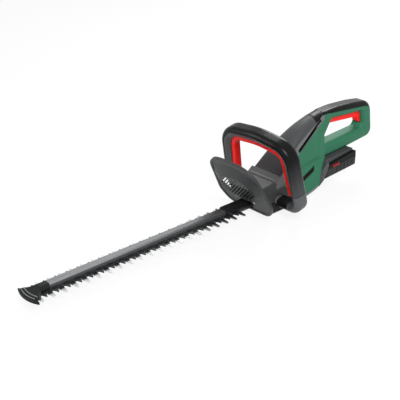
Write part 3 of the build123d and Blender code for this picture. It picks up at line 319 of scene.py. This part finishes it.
@dataclass(frozen=True)
class MouldedPlastic(Finish):
    """Moulded plastic with a fine eroded grain and paler, rubbed edges."""

    grain_scale: float = 1500.0
    grain_depth: float = 0.00006
    grain_dulls: float = 0.16
    mottle: float = 0.12
    mottle_scale: float = 26.0
    scuff_scale: float = 240.0
    scuff_stretch: Point = (1.0, 1.0, 3.0)
    scuff_span: Span = (0.62, 0.78)
    scuff_dulls: float = 0.10
    rub: float = 0.35
    rub_gain: float = 2.2
    rub_least: float = 0.4
    rub_tint: float = 2.1

    def pattern(self, graph: Graph, colour: Socket) -> Socket:
        """Lay further colour over the plain plastic, where a kind of plastic has it."""
        return colour

    def shade(self, graph: Graph) -> bpy.types.Node:
        """Colour, grain and gloss of the plastic.

        Args:
            graph: the material's graph.

        Returns:
            The shader node.
        """
        place = graph.place()
        normal, edges = graph.soft_edges(self.edge)
        grain = graph.noise(place, self.grain_scale, detail=2.0)
        patches = graph.noise(place, self.mottle_scale, detail=4.0)
        long_place = graph.stretched(place, self.scuff_stretch)
        scuffs = graph.noise(long_place, self.scuff_scale, detail=5.0).rise(*self.scuff_span)
        patchy = self.rub_least + patches * (1.0 - self.rub_least)
        worn = (edges * self.rub_gain).least(1.0) * patchy * self.rub
        plain = graph.blend(patches, self.tint(1.0 - self.mottle), self.tint(1.0 + self.mottle))
        colour = graph.blend(worn, self.pattern(graph, plain), self.tint(self.rub_tint))
        dulled = (grain - NOISE_MIDDLE) * self.grain_dulls + scuffs * self.scuff_dulls
        return graph.node("ShaderNodeBsdfPrincipled", None, {
            "Base Color": colour,
            "Roughness": self.roughness + dulled,
            "Specular IOR Level": self.gloss,
            "Normal": graph.relief(grain, self.grain_depth, normal),
        })


@dataclass(frozen=True)
class SoftRubber(Finish):
    """Soft over-moulded rubber with a fine pebbled skin, made paler low down by painted light."""

    # Painted light: pale is the lighter colour painted low on the rubber, where lamps light the
    # loop's legs.
    pale: Colour = (0.0050, 0.0054, 0.0056)
    painted_lit_full_below: float = 0.060
    painted_lit_gone_above: float = 0.150
    pebble_scale: float = 900.0
    pebble_depth: float = 0.00005
    pebble_middle: float = 0.4
    pebble_dulls: float = 0.06
    dust_scale: float = 40.0
    dust_span: Span = (0.45, 0.8)
    dust_share: float = 0.5
    dust_tint: float = 1.9
    dust_dulls: float = 0.12
    rub: float = 0.3
    rub_gain: float = 1.6
    rub_tint: float = 2.6

    def shade(self, graph: Graph) -> bpy.types.Node:
        """Colour with painted light low down, pebbles and dust of the rubber.

        Args:
            graph: the material's graph.

        Returns:
            The shader node.
        """
        place = graph.place()
        normal, edges = graph.soft_edges(self.edge)
        pebbles = graph.cells(place, self.pebble_scale)
        dust = graph.noise(place, self.dust_scale, detail=6.0).rise(*self.dust_span)
        _, _, up = graph.axes(place)
        worn = (edges * self.rub_gain).least(1.0) * self.rub
        # Painted light: pale below one height, fading to the rubber's own colour above the other.
        base = graph.blend(up.rise(self.painted_lit_full_below, self.painted_lit_gone_above), self.pale, self.colour)
        plain = graph.blend(dust * self.dust_share, base, self.tint(self.dust_tint))
        colour = graph.blend(worn, plain, self.tint(self.rub_tint))
        dulled = dust * self.dust_dulls + (pebbles - self.pebble_middle) * self.pebble_dulls
        return graph.node("ShaderNodeBsdfPrincipled", None, {
            "Base Color": colour,
            "Roughness": self.roughness + dulled,
            "Specular IOR Level": self.gloss,
            "Normal": graph.relief(1.0 - pebbles, self.pebble_depth, normal),
        })


@dataclass(frozen=True)
class GroundSteel(Finish):
    """Ground or rolled metal with fine lines along the tool."""

    lines: Point = (30.0, 1400.0, 1400.0)
    line_depth: float = 0.00002
    line_tints: Span = (0.82, 1.15)
    line_dulls: float = 0.2
    stain_scale: float = 35.0
    stain_span: Span = (0.4, 0.75)
    stain_share: float = 0.35
    stain_tint: float = 0.62
    stain_dulls: float = 0.08
    rub: float = 0.5
    rub_gain: float = 2.0
    rub_tint: float = 1.5

    def dressing(self, graph: Graph, colour: Socket) -> tuple[Socket, Number]:
        """Colour with any coatings laid over the metal, and how much of it stays bare."""
        return colour, 1.0

    def shade(self, graph: Graph) -> bpy.types.Node:
        """Colour, lines and gloss of the metal.

        Args:
            graph: the material's graph.

        Returns:
            The shader node.
        """
        place = graph.place()
        normal, edges = graph.soft_edges(self.edge)
        lines = graph.noise(graph.stretched(place, self.lines), scale=1.0, detail=4.0)
        stains = graph.noise(place, self.stain_scale, detail=5.0).rise(*self.stain_span)
        dark, light = (self.tint(factor) for factor in self.line_tints)
        plain = graph.blend(lines, dark, light)
        stained = graph.blend(stains * self.stain_share, plain, self.tint(self.stain_tint))
        dressed, bare = self.dressing(graph, stained)
        worn = (edges * self.rub_gain).least(1.0) * self.rub
        dulled = (lines - NOISE_MIDDLE) * self.line_dulls + stains * self.stain_dulls
        return graph.node("ShaderNodeBsdfPrincipled", None, {
            "Base Color": graph.blend(worn, dressed, self.tint(self.rub_tint)),
            "Metallic": bare,
            "Roughness": self.roughness + dulled,
            "Normal": graph.relief(lines, self.line_depth, normal),
        })


@dataclass(frozen=True)
class ToothedSteel(GroundSteel):
    """Blade steel with a dark coating that is ground off towards the teeth's ends, and painted
    shade near the guard.
    """

    coating: Colour = (0.012, 0.013, 0.014)
    ground_span: Span = (0.0185, 0.0205)
    # Painted shade: the teeth darken towards the guard over this span, down to this share of their
    # colour.
    guard_shade_span: Span = (0.14, 0.27)
    guard_shade_tint: float = 0.25

    def dressing(self, graph: Graph, colour: Socket) -> tuple[Socket, Number]:
        """Dark coating on the blade's back, bare metal on its teeth, darkened by painted shade
        near the guard.

        Args:
            graph: the material's graph.
            colour: the bare metal's colour.

        Returns:
            The colour's socket and how much of the metal stays bare.
        """
        along, across, _ = graph.axes(graph.place())
        bare = abs(across).rise(*self.ground_span)
        # Painted shade: darker towards the guard, where the guard shades the blades.
        teeth = graph.blend(along.rise(*self.guard_shade_span), self.tint(self.guard_shade_tint), colour)
        return graph.blend(bare, self.coating, teeth), bare


@dataclass(frozen=True)
class CappedMetal(GroundSteel):
    """Bar metal that is bare and metallic on its top; its flanks are painted shade, dark and not
    metallic.
    """

    # Painted shade: the flank colour stands in for the shade on the bar's sides, darker than its
    # bare top.
    flank: Colour = (0.016, 0.018, 0.019)
    painted_flank_shade_span: Span = (0.0343, 0.0347)
    # Painted shade: the bar's top darkens towards the guard over this span, down to this share of
    # its colour.
    guard_shade_span: Span = (0.12, 0.46)
    guard_shade_tint: float = 0.40

    def dressing(self, graph: Graph, colour: Socket) -> tuple[Socket, Number]:
        """Flanks darkened with painted shade below a bare top, which painted shade darkens near
        the guard.

        Args:
            graph: the material's graph.
            colour: the bare metal's colour.

        Returns:
            The colour's socket and how much of the metal stays bare.
        """
        along, _, up = graph.axes(graph.place())
        # Painted shade: below this height the bar takes the dark flank colour and stops being
        # metallic.
        bare = up.rise(*self.painted_flank_shade_span)
        # Painted shade: the top is darker towards the guard.
        top = graph.blend(along.rise(*self.guard_shade_span), self.tint(self.guard_shade_tint), colour)
        return graph.blend(bare, self.flank, top), bare


@dataclass(frozen=True)
class FootedRing(MouldedPlastic):
    """Loop plastic with black shanks at its two feet."""

    shank: Colour = (0.006, 0.0063, 0.0065)
    shank_end: float = 0.068
    end_fade: float = 0.002
    shank_top: float = 0.050
    top_fade: float = 0.004

    def pattern(self, graph: Graph, colour: Socket) -> Socket:
        """Black shanks between the gear case and the loop.

        Args:
            graph: the material's graph.
            colour: the plain plastic's colour.

        Returns:
            The colour's socket.
        """
        _, across, up = graph.axes(graph.place())
        inside = 1.0 - abs(across).rise(self.shank_end, self.shank_end + self.end_fade)
        low = 1.0 - up.rise(self.shank_top, self.shank_top + self.top_fade)
        return graph.blend(inside * low, colour, self.shank)


@dataclass(frozen=True)
class SlottedTrim(MouldedPlastic):
    """Trim plastic with painted shade, black around its long vent slot, where the slot's recess is
    shaded.
    """

    # Painted shade: the black that spreads the vent slot's shaded recess onto the trim.
    black: Colour = (0.003, 0.003, 0.0032)
    middle_x: float = -0.1014
    middle_z: float = 0.1403
    slope_x: float = -0.839
    slope_z: float = 0.544
    run: float = 0.045
    run_fade: float = 0.0010
    half: float = 0.0040
    half_fade: float = 0.0004

    def pattern(self, graph: Graph, colour: Socket) -> Socket:
        """Painted shade: a black band around the slot that stands in for its shaded recess.

        Args:
            graph: the material's graph.
            colour: the plain plastic's colour.

        Returns:
            The colour's socket.
        """
        along, _, up = graph.axes(graph.place())
        ahead, above = along - self.middle_x, up - self.middle_z
        across = ahead * self.slope_z - above * self.slope_x
        length = ahead * self.slope_x + above * self.slope_z
        ends = length.band(0.0, self.run, self.run_fade)
        # Painted shade: black within a band along the slot, rounded off at its ends.
        painted_slot_shade = across.band(0.0, self.half, self.half_fade) * ends
        return graph.blend(painted_slot_shade, colour, self.black)


@dataclass(frozen=True)
class WovenScreen(MouldedPlastic):
    """Dark vent screen with a fine square weave."""

    pitch: float = 0.0022
    thread_span: Span = (0.5, 0.9)
    thread_share: float = 0.5
    thread_tint: float = 2.4

    def pattern(self, graph: Graph, colour: Socket) -> Socket:
        """Threads of the weave.

        Args:
            graph: the material's graph.
            colour: the plain plastic's colour.

        Returns:
            The colour's socket.
        """
        along, _, up = graph.axes(graph.place())
        turn = 2.0 * math.pi / self.pitch
        threads = (along * turn).wave().most((up * turn).wave()).rise(*self.thread_span)
        return graph.blend(threads * self.thread_share, colour, self.tint(self.thread_tint))


@dataclass(frozen=True)
class StudioFloor(Finish):
    """Pale floor that stays white for the camera and keeps a faint shadow."""

    glow: float = 0.88
    speckle_scale: float = 300.0
    speckle_tint: float = 0.99

    def shade(self, graph: Graph) -> bpy.types.Node:
        """Mix of a lit floor and plain white.

        Args:
            graph: the material's graph.

        Returns:
            The shader node.
        """
        speckle = graph.noise(graph.place(), self.speckle_scale, detail=2.0)
        pale = graph.blend(speckle, self.tint(self.speckle_tint), self.colour)
        matte = graph.node("ShaderNodeBsdfDiffuse", None, {"Color": pale})
        white = graph.node("ShaderNodeEmission", None, {"Color": WHITE, "Strength": 1.0})
        return graph.node("ShaderNodeMixShader", None, {
            0: graph.seen() * self.glow, 1: matte.outputs[0], 2: white.outputs[0],
        })


class Look(Enum):
    """The finishes of the tool's pieces."""

    SHELL_GREEN = MouldedPlastic(
        "shell_green_satin", (0.028, 0.150, 0.082),
        roughness=0.48, edge=0.0012, gloss=0.14, mottle=0.06, rub=0.3,
    )
    TRIM_GREY = SlottedTrim(
        "trim_grey_satin", (0.135, 0.138, 0.140),
        roughness=0.42, edge=0.0007, mottle=0.06, rub=0.3,
    )
    FOOT_GREY = MouldedPlastic(
        "foot_grey_satin", (0.062, 0.064, 0.066),
        roughness=0.40, edge=0.0014, mottle=0.06, rub=0.9,
    )
    HOOD_GREY = MouldedPlastic(
        "hood_grey_matte", (0.050, 0.053, 0.055),
        roughness=0.46, edge=0.0009, gloss=0.22, mottle=0.08, rub=0.3,
    )
    GUSSET_GREY = MouldedPlastic(
        "gusset_grey_matte", (0.040, 0.043, 0.044),
        roughness=0.50, edge=0.0009, gloss=0.2, mottle=0.08, rub=0.4,
    )
    COLLAR_GREY = MouldedPlastic(
        "collar_grey_matte", (0.105, 0.110, 0.113),
        roughness=0.42, edge=0.0012, mottle=0.08, rub=0.5,
    )
    GUARD_GREY = MouldedPlastic(
        "guard_grey_matte", (0.034, 0.036, 0.037),
        roughness=0.44, edge=0.0014, gloss=0.22, mottle=0.08, rub=0.6,
    )
    CASE_BLACK = MouldedPlastic(
        "case_black_matte", (0.0070, 0.0074, 0.0076),
        roughness=0.50, edge=0.0008, gloss=0.12, mottle=0.10, rub=0.4,
    )
    PACK_GREY = MouldedPlastic(
        "pack_grey_matte", (0.026, 0.027, 0.028),
        roughness=0.46, edge=0.0010, gloss=0.16, mottle=0.10, rub=0.6,
    )
    PLATE_BLACK = MouldedPlastic(
        "bare_plate_black", (0.003, 0.003, 0.0033),
        roughness=0.40, edge=0.0005, gloss=0.06, mottle=0.05, rub=0.2,
    )
    RING_GREY = FootedRing(
        "loop_ring_grey", (0.082, 0.086, 0.088),
        roughness=0.40, edge=0.0008, gloss=0.22, mottle=0.06, rub=0.2,
    )
    SWITCH_RED = MouldedPlastic(
        "switch_red_satin", (0.93, 0.015, 0.012),
        roughness=0.42, edge=0.0010, gloss=0.16, mottle=0.03, rub=0.02,
    )
    RELEASE_RED = MouldedPlastic(
        "release_red_matte", (0.26, 0.010, 0.010),
        roughness=0.45, edge=0.0006, gloss=0.14, mottle=0.05, rub=0.1,
    )
    SLEEVE_BLACK = MouldedPlastic(
        "sleeve_black_satin", (0.007, 0.007, 0.008),
        roughness=0.36, edge=0.0008, gloss=0.16, mottle=0.08, rub=0.8,
    )
    TIP_BLACK = MouldedPlastic(
        "tip_black", (0.007, 0.008, 0.008),
        roughness=0.45, edge=0.0007, gloss=0.14, mottle=0.08, rub=0.6,
    )
    BEAD_GREY = MouldedPlastic(
        "bead_grey_satin", (0.200, 0.208, 0.212),
        roughness=0.40, edge=0.0003, mottle=0.04, rub=0.2,
    )
    EDGE_GREY = MouldedPlastic(
        "edge_grey_satin", (0.150, 0.154, 0.156),
        roughness=0.42, edge=0.0005, mottle=0.06, rub=0.3,
    )
    SCREEN_BLACK = WovenScreen(
        "vent_screen_black", (0.003, 0.003, 0.003),
        roughness=0.55, edge=0.0004, gloss=0.05, mottle=0.08, rub=0.1,
    )
    CELL_WRAP = MouldedPlastic(
        "cell_wrap_film", (0.06, 0.16, 0.38),
        roughness=0.30, edge=0.0005, mottle=0.05, rub=0.1,
    )
    BOARD_GREEN = MouldedPlastic(
        "board_green_lacquer", (0.014, 0.11, 0.045),
        roughness=0.35, edge=0.0003, mottle=0.15, rub=0.3,
    )
    # Painted light: the loop rubber's pale colour, far lighter than its own, lights its lower
    # legs.
    LOOP_RUBBER = SoftRubber(
        "loop_rubber", (0.0040, 0.0043, 0.0045),
        roughness=0.22, edge=0.0006, gloss=0.12, pale=(0.050, 0.053, 0.055),
    )
    GRIP_RUBBER = SoftRubber(
        "grip_rubber", (0.0040, 0.0043, 0.0045), roughness=0.28, edge=0.0006, gloss=0.12,
    )
    COMB_STEEL = ToothedSteel("comb_steel", (0.74, 0.75, 0.76), roughness=0.30, edge=0.0004)
    CUTTER_STEEL = ToothedSteel(
        "cutter_steel", (0.30, 0.31, 0.32),
        roughness=0.30, edge=0.0004, ground_span=(0.0300, 0.0310),
    )
    BAR_METAL = CappedMetal(
        "bar_rolled_metal", (0.235, 0.242, 0.248), roughness=0.40, edge=0.0006,
    )
    BOLT_STEEL = GroundSteel(
        "bolt_steel", (0.42, 0.42, 0.43),
        roughness=0.34, edge=0.0004, lines=(700.0, 700.0, 700.0),
    )
    DRIVE_STEEL = GroundSteel(
        "drive_ground_steel", (0.50, 0.50, 0.51),
        roughness=0.28, edge=0.0004, lines=(900.0, 900.0, 60.0),
    )
    TERMINAL_BRASS = GroundSteel(
        "terminal_brass_bright", (0.70, 0.52, 0.22),
        roughness=0.28, edge=0.0002, lines=(60.0, 900.0, 900.0),
    )
    FLOOR = StudioFloor("studio_floor", (0.90, 0.90, 0.90))


def new_piece(name: str, shape: bmesh.types.BMesh, look: Look, body: str) -> None:
    """Turn a built mesh into a piece that rides on a body.

    Args:
        name: the piece's name.
        shape: the mesh, in metres in the tool's frame; it is freed.
        look: its finish.
        body: the body it moves with.
    """
    bmesh.ops.recalc_face_normals(shape, faces=shape.faces)
    mesh = bpy.data.meshes.new(name)
    shape.to_mesh(mesh)
    shape.free()
    mesh.materials.append(look.value.material())
    piece = bpy.data.objects.new(name, mesh)
    bpy.context.scene.collection.objects.link(piece)
    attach(piece, body)
    LOG.info("built %s on %s", name, body)


def join_rows(shape: bmesh.types.BMesh, rows: list[list[bmesh.types.BMVert]]) -> None:
    """Skin a row of closed rings and cap both ends.

    Args:
        shape: the mesh in work.
        rows: the rings' points, with as many points in each ring.
    """
    for near, far in zip(rows, rows[1:]):
        count = len(near)
        for k in range(count):
            after = (k + 1) % count
            shape.faces.new((near[k], near[after], far[after], far[k]))
    shape.faces.new(rows[-1])
    shape.faces.new(list(reversed(rows[0])))


def prism(
    shape: bmesh.types.BMesh, outline: list[Span], matrix: Matrix, depth: float, bevel: float,
) -> None:
    """Add a bevelled prism to a mesh.

    Args:
        shape: the mesh in work.
        outline: its corners in the plane's own two axes.
        matrix: places the plane in the tool's frame.
        depth: how far it stands up along the plane's third axis.
        bevel: the width of its rounded top edge.
    """
    corners = [Vector(corner) for corner in outline]
    centre = sum(corners, Vector((0.0, 0.0))) / len(corners)
    steps = [
        (0.0, 0.0),
        (0.0, depth - bevel),
        (BEVEL_MIDDLE_IN * bevel, depth - BEVEL_MIDDLE_DOWN * bevel),
        (bevel, depth),
    ]
    rows = []
    for inset, height in steps:
        row = []
        for corner in corners:
            span = corner - centre
            point = centre + span * (1.0 - inset / span.length)
            row.append(shape.verts.new(matrix @ Vector((point.x, point.y, height))))
        rows.append(row)
    join_rows(shape, rows)


def spread(half: float, steps: int) -> list[float]:
    """Even places from -half to half, with so many steps between them."""
    return [half * (2.0 * k / steps - 1.0) for k in range(steps + 1)]


def surface(frame: Frame, node: str) -> BVHTree:
    """A solid's surface, ready to be met by straight lines.

    Args:
        frame: the loaded frame.
        node: the solid's name.

    Returns:
        The surface.
    """
    mesh = frame["nodes"][node].data
    corners = [vertex.co.copy() for vertex in mesh.vertices]
    return BVHTree.FromPolygons(corners, [tuple(face.vertices) for face in mesh.polygons])


def ribbon(
    shape: bmesh.types.BMesh,
    skin: BVHTree,
    path: list[Vector],
    cast: Vector,
    half: float,
    lift: float,
) -> None:
    """Lay a thin raised strip on a surface and add it to a mesh.

    Args:
        shape: the mesh in work.
        skin: the surface that the strip lies on.
        path: points off the surface, in order along the strip.
        cast: the direction from the points to the surface.
        half: half the strip's width.
        lift: how far it stands out; it reaches as far into the surface.
    """
    rows = []
    for k, point in enumerate(path):
        ahead = path[min(k + 1, len(path) - 1)] - path[max(k - 1, 0)]
        aside = cast.cross(ahead).normalized() * half
        feet = [skin.ray_cast(point + aside * sign, cast)[:2] for sign in (-1.0, 1.0)]
        if any(foot is None for foot, _ in feet):
            continue
        (left, left_out), (right, right_out) = (
            (foot, normal * (-lift if normal.dot(cast) > 0.0 else lift)) for foot, normal in feet
        )
        corners = (left - left_out, left + left_out, right + right_out, right - right_out)
        rows.append([shape.verts.new(corner) for corner in corners])
    join_rows(shape, rows)


@dataclass
class SubAssembly:
    """Solids that are dressed together, and the meshes that are built on them."""

    looks: dict[str, Look] = field(default_factory=dict)

    def build(self, frame: Frame) -> None:
        """Build the meshes that the solids don't have; a plain sub-assembly has none."""

    def dress(self, frame: Frame) -> None:
        """Give every solid its finish, then build what lies on them.

        Args:
            frame: the loaded frame.
        """
        for node, look in self.looks.items():
            piece = frame["nodes"][node]
            piece.data.materials.clear()
            piece.data.materials.append(look.value.material())
            LOG.info("dressed %s in %s", node, look.value.name)
        self.build(frame)


@dataclass
class BladeSet(SubAssembly):
    """Toothed blades, guide bar, sleeve and tip."""

    tip_front: float = 0.5925
    tip_sag: float = 0.0075
    tip_half: float = 0.034
    bead_places: tuple[float, float] = (0.0048, 0.0100)
    bead_reach: float = 0.0205
    bead_half: float = 0.0006
    bead_lift: float = 0.0005
    bead_steps: int = 20
    cast_height: float = 0.1
    looks: dict[str, Look] = field(default_factory=lambda: {
        "comb_blade": Look.COMB_STEEL,
        "cutter_blade": Look.CUTTER_STEEL,
        "cutter_yoke": Look.DRIVE_STEEL,
        "guide_bar": Look.BAR_METAL,
        "bar_sleeve": Look.SLEEVE_BLACK,
        "tip_protector": Look.TIP_BLACK,
        "blade_bolts": Look.BOLT_STEEL,
        "blade_spacers": Look.BOLT_STEEL,
    })

    def build(self, frame: Frame) -> None:
        """Two beads that follow the tip's curved front edge.

        Args:
            frame: the loaded frame.
        """
        shape = bmesh.new()
        skin = surface(frame, "tip_protector")
        for place in self.bead_places:
            path = []
            for across in spread(self.bead_reach, self.bead_steps):
                along = self.tip_front - place - self.tip_sag * (across / self.tip_half) ** 2
                path.append(Vector((along, across, self.cast_height)))
            ribbon(shape, skin, path, DOWN, self.bead_half, self.bead_lift)
        new_piece("tip_beads", shape, Look.BEAD_GREY, "body")


@dataclass
class GearHead(SubAssembly):
    """Hand guard, gear case, collar and drive."""

    # Painted highlight: a pale strip where the collar's rounded top edge catches the light.
    highlight_x: float = 0.0172
    highlight_reach: float = 0.0345
    highlight_half: float = 0.0007
    highlight_lift: float = 0.0005
    highlight_steps: int = 30
    cast_height: float = 0.2
    looks: dict[str, Look] = field(default_factory=lambda: {
        "hand_guard": Look.GUARD_GREY,
        "guard_screws": Look.BOLT_STEEL,
        "gear_case_tray": Look.CASE_BLACK,
        "gear_case_cover": Look.GUSSET_GREY,
        "case_screws": Look.BOLT_STEEL,
        "neck_collar": Look.COLLAR_GREY,
        "gear_plate": Look.DRIVE_STEEL,
        "gear_bearing": Look.DRIVE_STEEL,
        "drive_gear": Look.DRIVE_STEEL,
        "crank_roller": Look.DRIVE_STEEL,
        "motor_pinion": Look.DRIVE_STEEL,
        "motor_rotor": Look.DRIVE_STEEL,
        "motor_can": Look.DRIVE_STEEL,
        "motor_cap": Look.DRIVE_STEEL,
    })

    def build(self, frame: Frame) -> None:
        """Pale raised strip across the front of the collar, a painted highlight on its rounded top
        edge.

        Args:
            frame: the loaded frame.
        """
        shape = bmesh.new()
        skin = surface(frame, "neck_collar")
        path = [
            Vector((self.highlight_x, across, self.cast_height))
            for across in spread(self.highlight_reach, self.highlight_steps)
        ]
        ribbon(shape, skin, path, DOWN, self.highlight_half, self.highlight_lift)
        new_piece("collar_painted_highlight", shape, Look.BEAD_GREY, "body")


@dataclass
class BodyShell(SubAssembly):
    """Green shells, grey trims, dark hood and rear handle."""

    edge_front: float = -0.024
    edge_rear: float = -0.122
    edge_steps: int = 24
    edge_probe: float = 0.026
    edge_above: float = 0.0090
    edge_half: float = 0.0026
    edge_lift: float = 0.0006
    cast_depth: float = -0.1
    cast_aside: float = 0.2
    looks: dict[str, Look] = field(default_factory=lambda: {
        "housing_left": Look.SHELL_GREEN,
        "housing_right": Look.SHELL_GREEN,
        "housing_screws": Look.BOLT_STEEL,
        "side_trim_left": Look.TRIM_GREY,
        "side_trim_right": Look.TRIM_GREY,
        "vent_screens": Look.SCREEN_BLACK,
        "side_strips": Look.PLATE_BLACK,
        "spine_cover": Look.HOOD_GREY,
        "grip_cap": Look.GRIP_RUBBER,
        "rear_grip": Look.GRIP_RUBBER,
        "rear_trigger": Look.SWITCH_RED,
        "trigger_pin": Look.BOLT_STEEL,
        "trigger_switch": Look.CASE_BLACK,
        "control_board": Look.BOARD_GREEN,
    })

    def build(self, frame: Frame) -> None:
        """Lower edges of both green shells."""
        for side in Side:
            self.lower_edge(frame, side)

    def lower_edge(self, frame: Frame, side: Side) -> None:
        """Grey edge strip low on one green shell.

        Args:
            frame: the loaded frame.
            side: which shell.
        """
        word = side.name.lower()
        skin = surface(frame, f"housing_{word}")
        path = []
        for k in range(self.edge_steps + 1):
            along = self.edge_front + (self.edge_rear - self.edge_front) * k / self.edge_steps
            probe = Vector((along, side.value * self.edge_probe, self.cast_depth))
            foot = skin.ray_cast(probe, UP)[0]
            if foot is not None:
                height = foot.z + self.edge_above
                path.append(Vector((along, side.value * self.cast_aside, height)))
        shape = bmesh.new()
        inward = Vector((0.0, -side.value, 0.0))
        ribbon(shape, skin, path, inward, self.edge_half, self.edge_lift)
        new_piece(f"lower_edge_{word}", shape, Look.EDGE_GREY, "body")


@dataclass
class LoopHandle(SubAssembly):
    """Front loop with its soft grip and red switch bar."""

    looks: dict[str, Look] = field(default_factory=lambda: {
        "loop_front_shell": Look.RING_GREY,
        "loop_rear_shell": Look.RING_GREY,
        "loop_grip": Look.LOOP_RUBBER,
        "loop_switch_bar": Look.SWITCH_RED,
        "loop_clamps": Look.COLLAR_GREY,
        "loop_bolts": Look.BOLT_STEEL,
    })


@dataclass
class BatteryPack(SubAssembly):
    """Slide-on battery and the railed foot that takes it."""

    origin: Point = (-0.148, 0.0, 0.062)
    tilt: float = math.radians(3.5)
    half: float = 0.037
    rib_first: float = 0.030
    rib_step: float = 0.0125
    rib_count: int = 5
    rib_low: float = -0.0235
    rib_high: float = -0.0125
    rib_lean: float = 0.25
    rib_width: float = 0.0052
    rib_height: float = 0.0009
    rib_bevel: float = 0.0005
    looks: dict[str, Look] = field(default_factory=lambda: {
        "battery_foot": Look.FOOT_GREY,
        "foot_terminals": Look.TERMINAL_BRASS,
        "pack_case_tray": Look.PACK_GREY,
        "pack_case_lid": Look.CASE_BLACK,
        "pack_cells": Look.CELL_WRAP,
        "release_button_left": Look.RELEASE_RED,
        "release_button_right": Look.RELEASE_RED,
    })

    def build(self, frame: Frame) -> None:
        """Finger ribs on both flanks."""
        for side in Side:
            self.ribs(side)

    def flank(self, side: Side) -> Matrix:
        """Place of the pack's side face.

        Args:
            side: which flank.

        Returns:
            A matrix whose axes run to the rear, up and out of the face.
        """
        along = Vector((-math.cos(self.tilt), 0.0, math.sin(self.tilt)))
        out = Vector((0.0, side.value, 0.0))
        up = Vector((math.sin(self.tilt), 0.0, math.cos(self.tilt)))
        base = Vector(self.origin) + out * self.half
        return Matrix.Translation(base) @ Matrix((along, up, out)).transposed().to_4x4()

    def ribs(self, side: Side) -> None:
        """Finger ribs on one flank.

        Args:
            side: which flank.
        """
        shape = bmesh.new()
        lean = self.rib_lean * (self.rib_high - self.rib_low)
        for k in range(self.rib_count):
            start = self.rib_first + k * self.rib_step
            end = start + self.rib_width
            outline = [
                (start, self.rib_low),
                (end, self.rib_low),
                (end + lean, self.rib_high),
                (start + lean, self.rib_high),
            ]
            prism(shape, outline, self.flank(side), self.rib_height, self.rib_bevel)
        name = f"pack_ribs_{side.name.lower()}"
        new_piece(name, shape, Look.PACK_GREY, "pack")


@dataclass(frozen=True)
class Lamp:
    """A soft rectangular lamp: its place, the size of its face and its power in watts."""

    name: str
    place: Point
    size: Span
    power: float


@dataclass
class Studio:
    """Floor, lamps, white surroundings and camera."""

    eye: Point = (1.2527, 1.1578, 0.8262)
    right: Point = (-0.7367, 0.6762, 0.0)
    up: Point = (-0.2907, -0.3167, 0.9029)
    back: Point = (0.6106, 0.6652, 0.4299)
    lens: float = 80.83
    sensor: float = 36.0
    nearest: float = 0.05
    farthest: float = 50.0
    floor_half: float = 6.0
    floor_cells: int = 8
    floor_height: float = -0.0006
    target: Point = (0.02, 0.0, 0.08)
    ambient: float = 0.24
    lamps: tuple[Lamp, ...] = (
        Lamp("key_lamp", (0.9, 1.5, 1.7), (1.1, 1.1), 54.0),
        Lamp("back_lamp", (-1.5, -0.9, 1.6), (0.9, 0.9), 34.0),
        Lamp("edge_lamp", (1.7, -1.4, 0.8), (0.5, 1.4), 14.0),
    )

    def floor(self) -> None:
        """Lay the floor that the tool stands on."""
        shape = bmesh.new()
        bmesh.ops.create_grid(
            shape, x_segments=self.floor_cells, y_segments=self.floor_cells, size=self.floor_half,
        )
        mesh = bpy.data.meshes.new("studio_floor")
        shape.to_mesh(mesh)
        shape.free()
        mesh.materials.append(Look.FLOOR.value.material())
        plane = bpy.data.objects.new("studio_floor", mesh)
        plane.location = (0.0, 0.0, self.floor_height)
        bpy.context.scene.collection.objects.link(plane)

    def hang(self, lamp: Lamp) -> None:
        """Hang one lamp that points at the tool.

        Args:
            lamp: its name, place, face and power.
        """
        data = bpy.data.lights.new(lamp.name, "AREA")
        data.shape = "RECTANGLE"
        data.size, data.size_y = lamp.size
        data.energy = lamp.power
        hung = bpy.data.objects.new(lamp.name, data)
        hung.location = lamp.place
        hung.rotation_mode = "QUATERNION"
        aim = Vector(self.target) - Vector(lamp.place)
        hung.rotation_quaternion = aim.to_track_quat("-Z", "Y")
        bpy.context.scene.collection.objects.link(hung)

    def surroundings(self) -> None:
        """White around the tool for the camera and for reflections, dimmer as light."""
        world = bpy.data.worlds.new("studio_white")
        graph = Graph(world)
        strength = self.ambient + graph.seen() * (1.0 - self.ambient)
        light = graph.node("ShaderNodeBackground", None, {"Color": WHITE, "Strength": strength})
        graph.node("ShaderNodeOutputWorld", None, {"Surface": light.outputs[0]})
        bpy.context.scene.world = world

    def camera(self) -> None:
        """Set the camera where the photograph was taken from."""
        data = bpy.data.cameras.new("photo_camera")
        data.lens = self.lens
        data.sensor_width = self.sensor
        data.clip_start = self.nearest
        data.clip_end = self.farthest
        camera = bpy.data.objects.new("photo_camera", data)
        turn = Matrix((Vector(self.right), Vector(self.up), Vector(self.back))).transposed()
        camera.matrix_world = Matrix.Translation(Vector(self.eye)) @ turn.to_4x4()
        bpy.context.scene.collection.objects.link(camera)
        bpy.context.scene.camera = camera

    def build(self) -> None:
        """Set up the whole studio."""
        self.floor()
        for lamp in self.lamps:
            self.hang(lamp)
        self.surroundings()
        self.camera()
        bpy.context.scene.view_settings.view_transform = "Standard"


def main() -> None:
    """Load the frame, dress each sub-assembly and set the studio."""
    logging.basicConfig(level=logging.INFO, format="%(name)s: %(message)s")
    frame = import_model()
    for part in (BladeSet(), GearHead(), BodyShell(), LoopHandle(), BatteryPack()):
        part.dress(frame)
        LOG.info("finished %s", type(part).__name__)
    Studio().build()


if __name__ == "__main__":
    main()
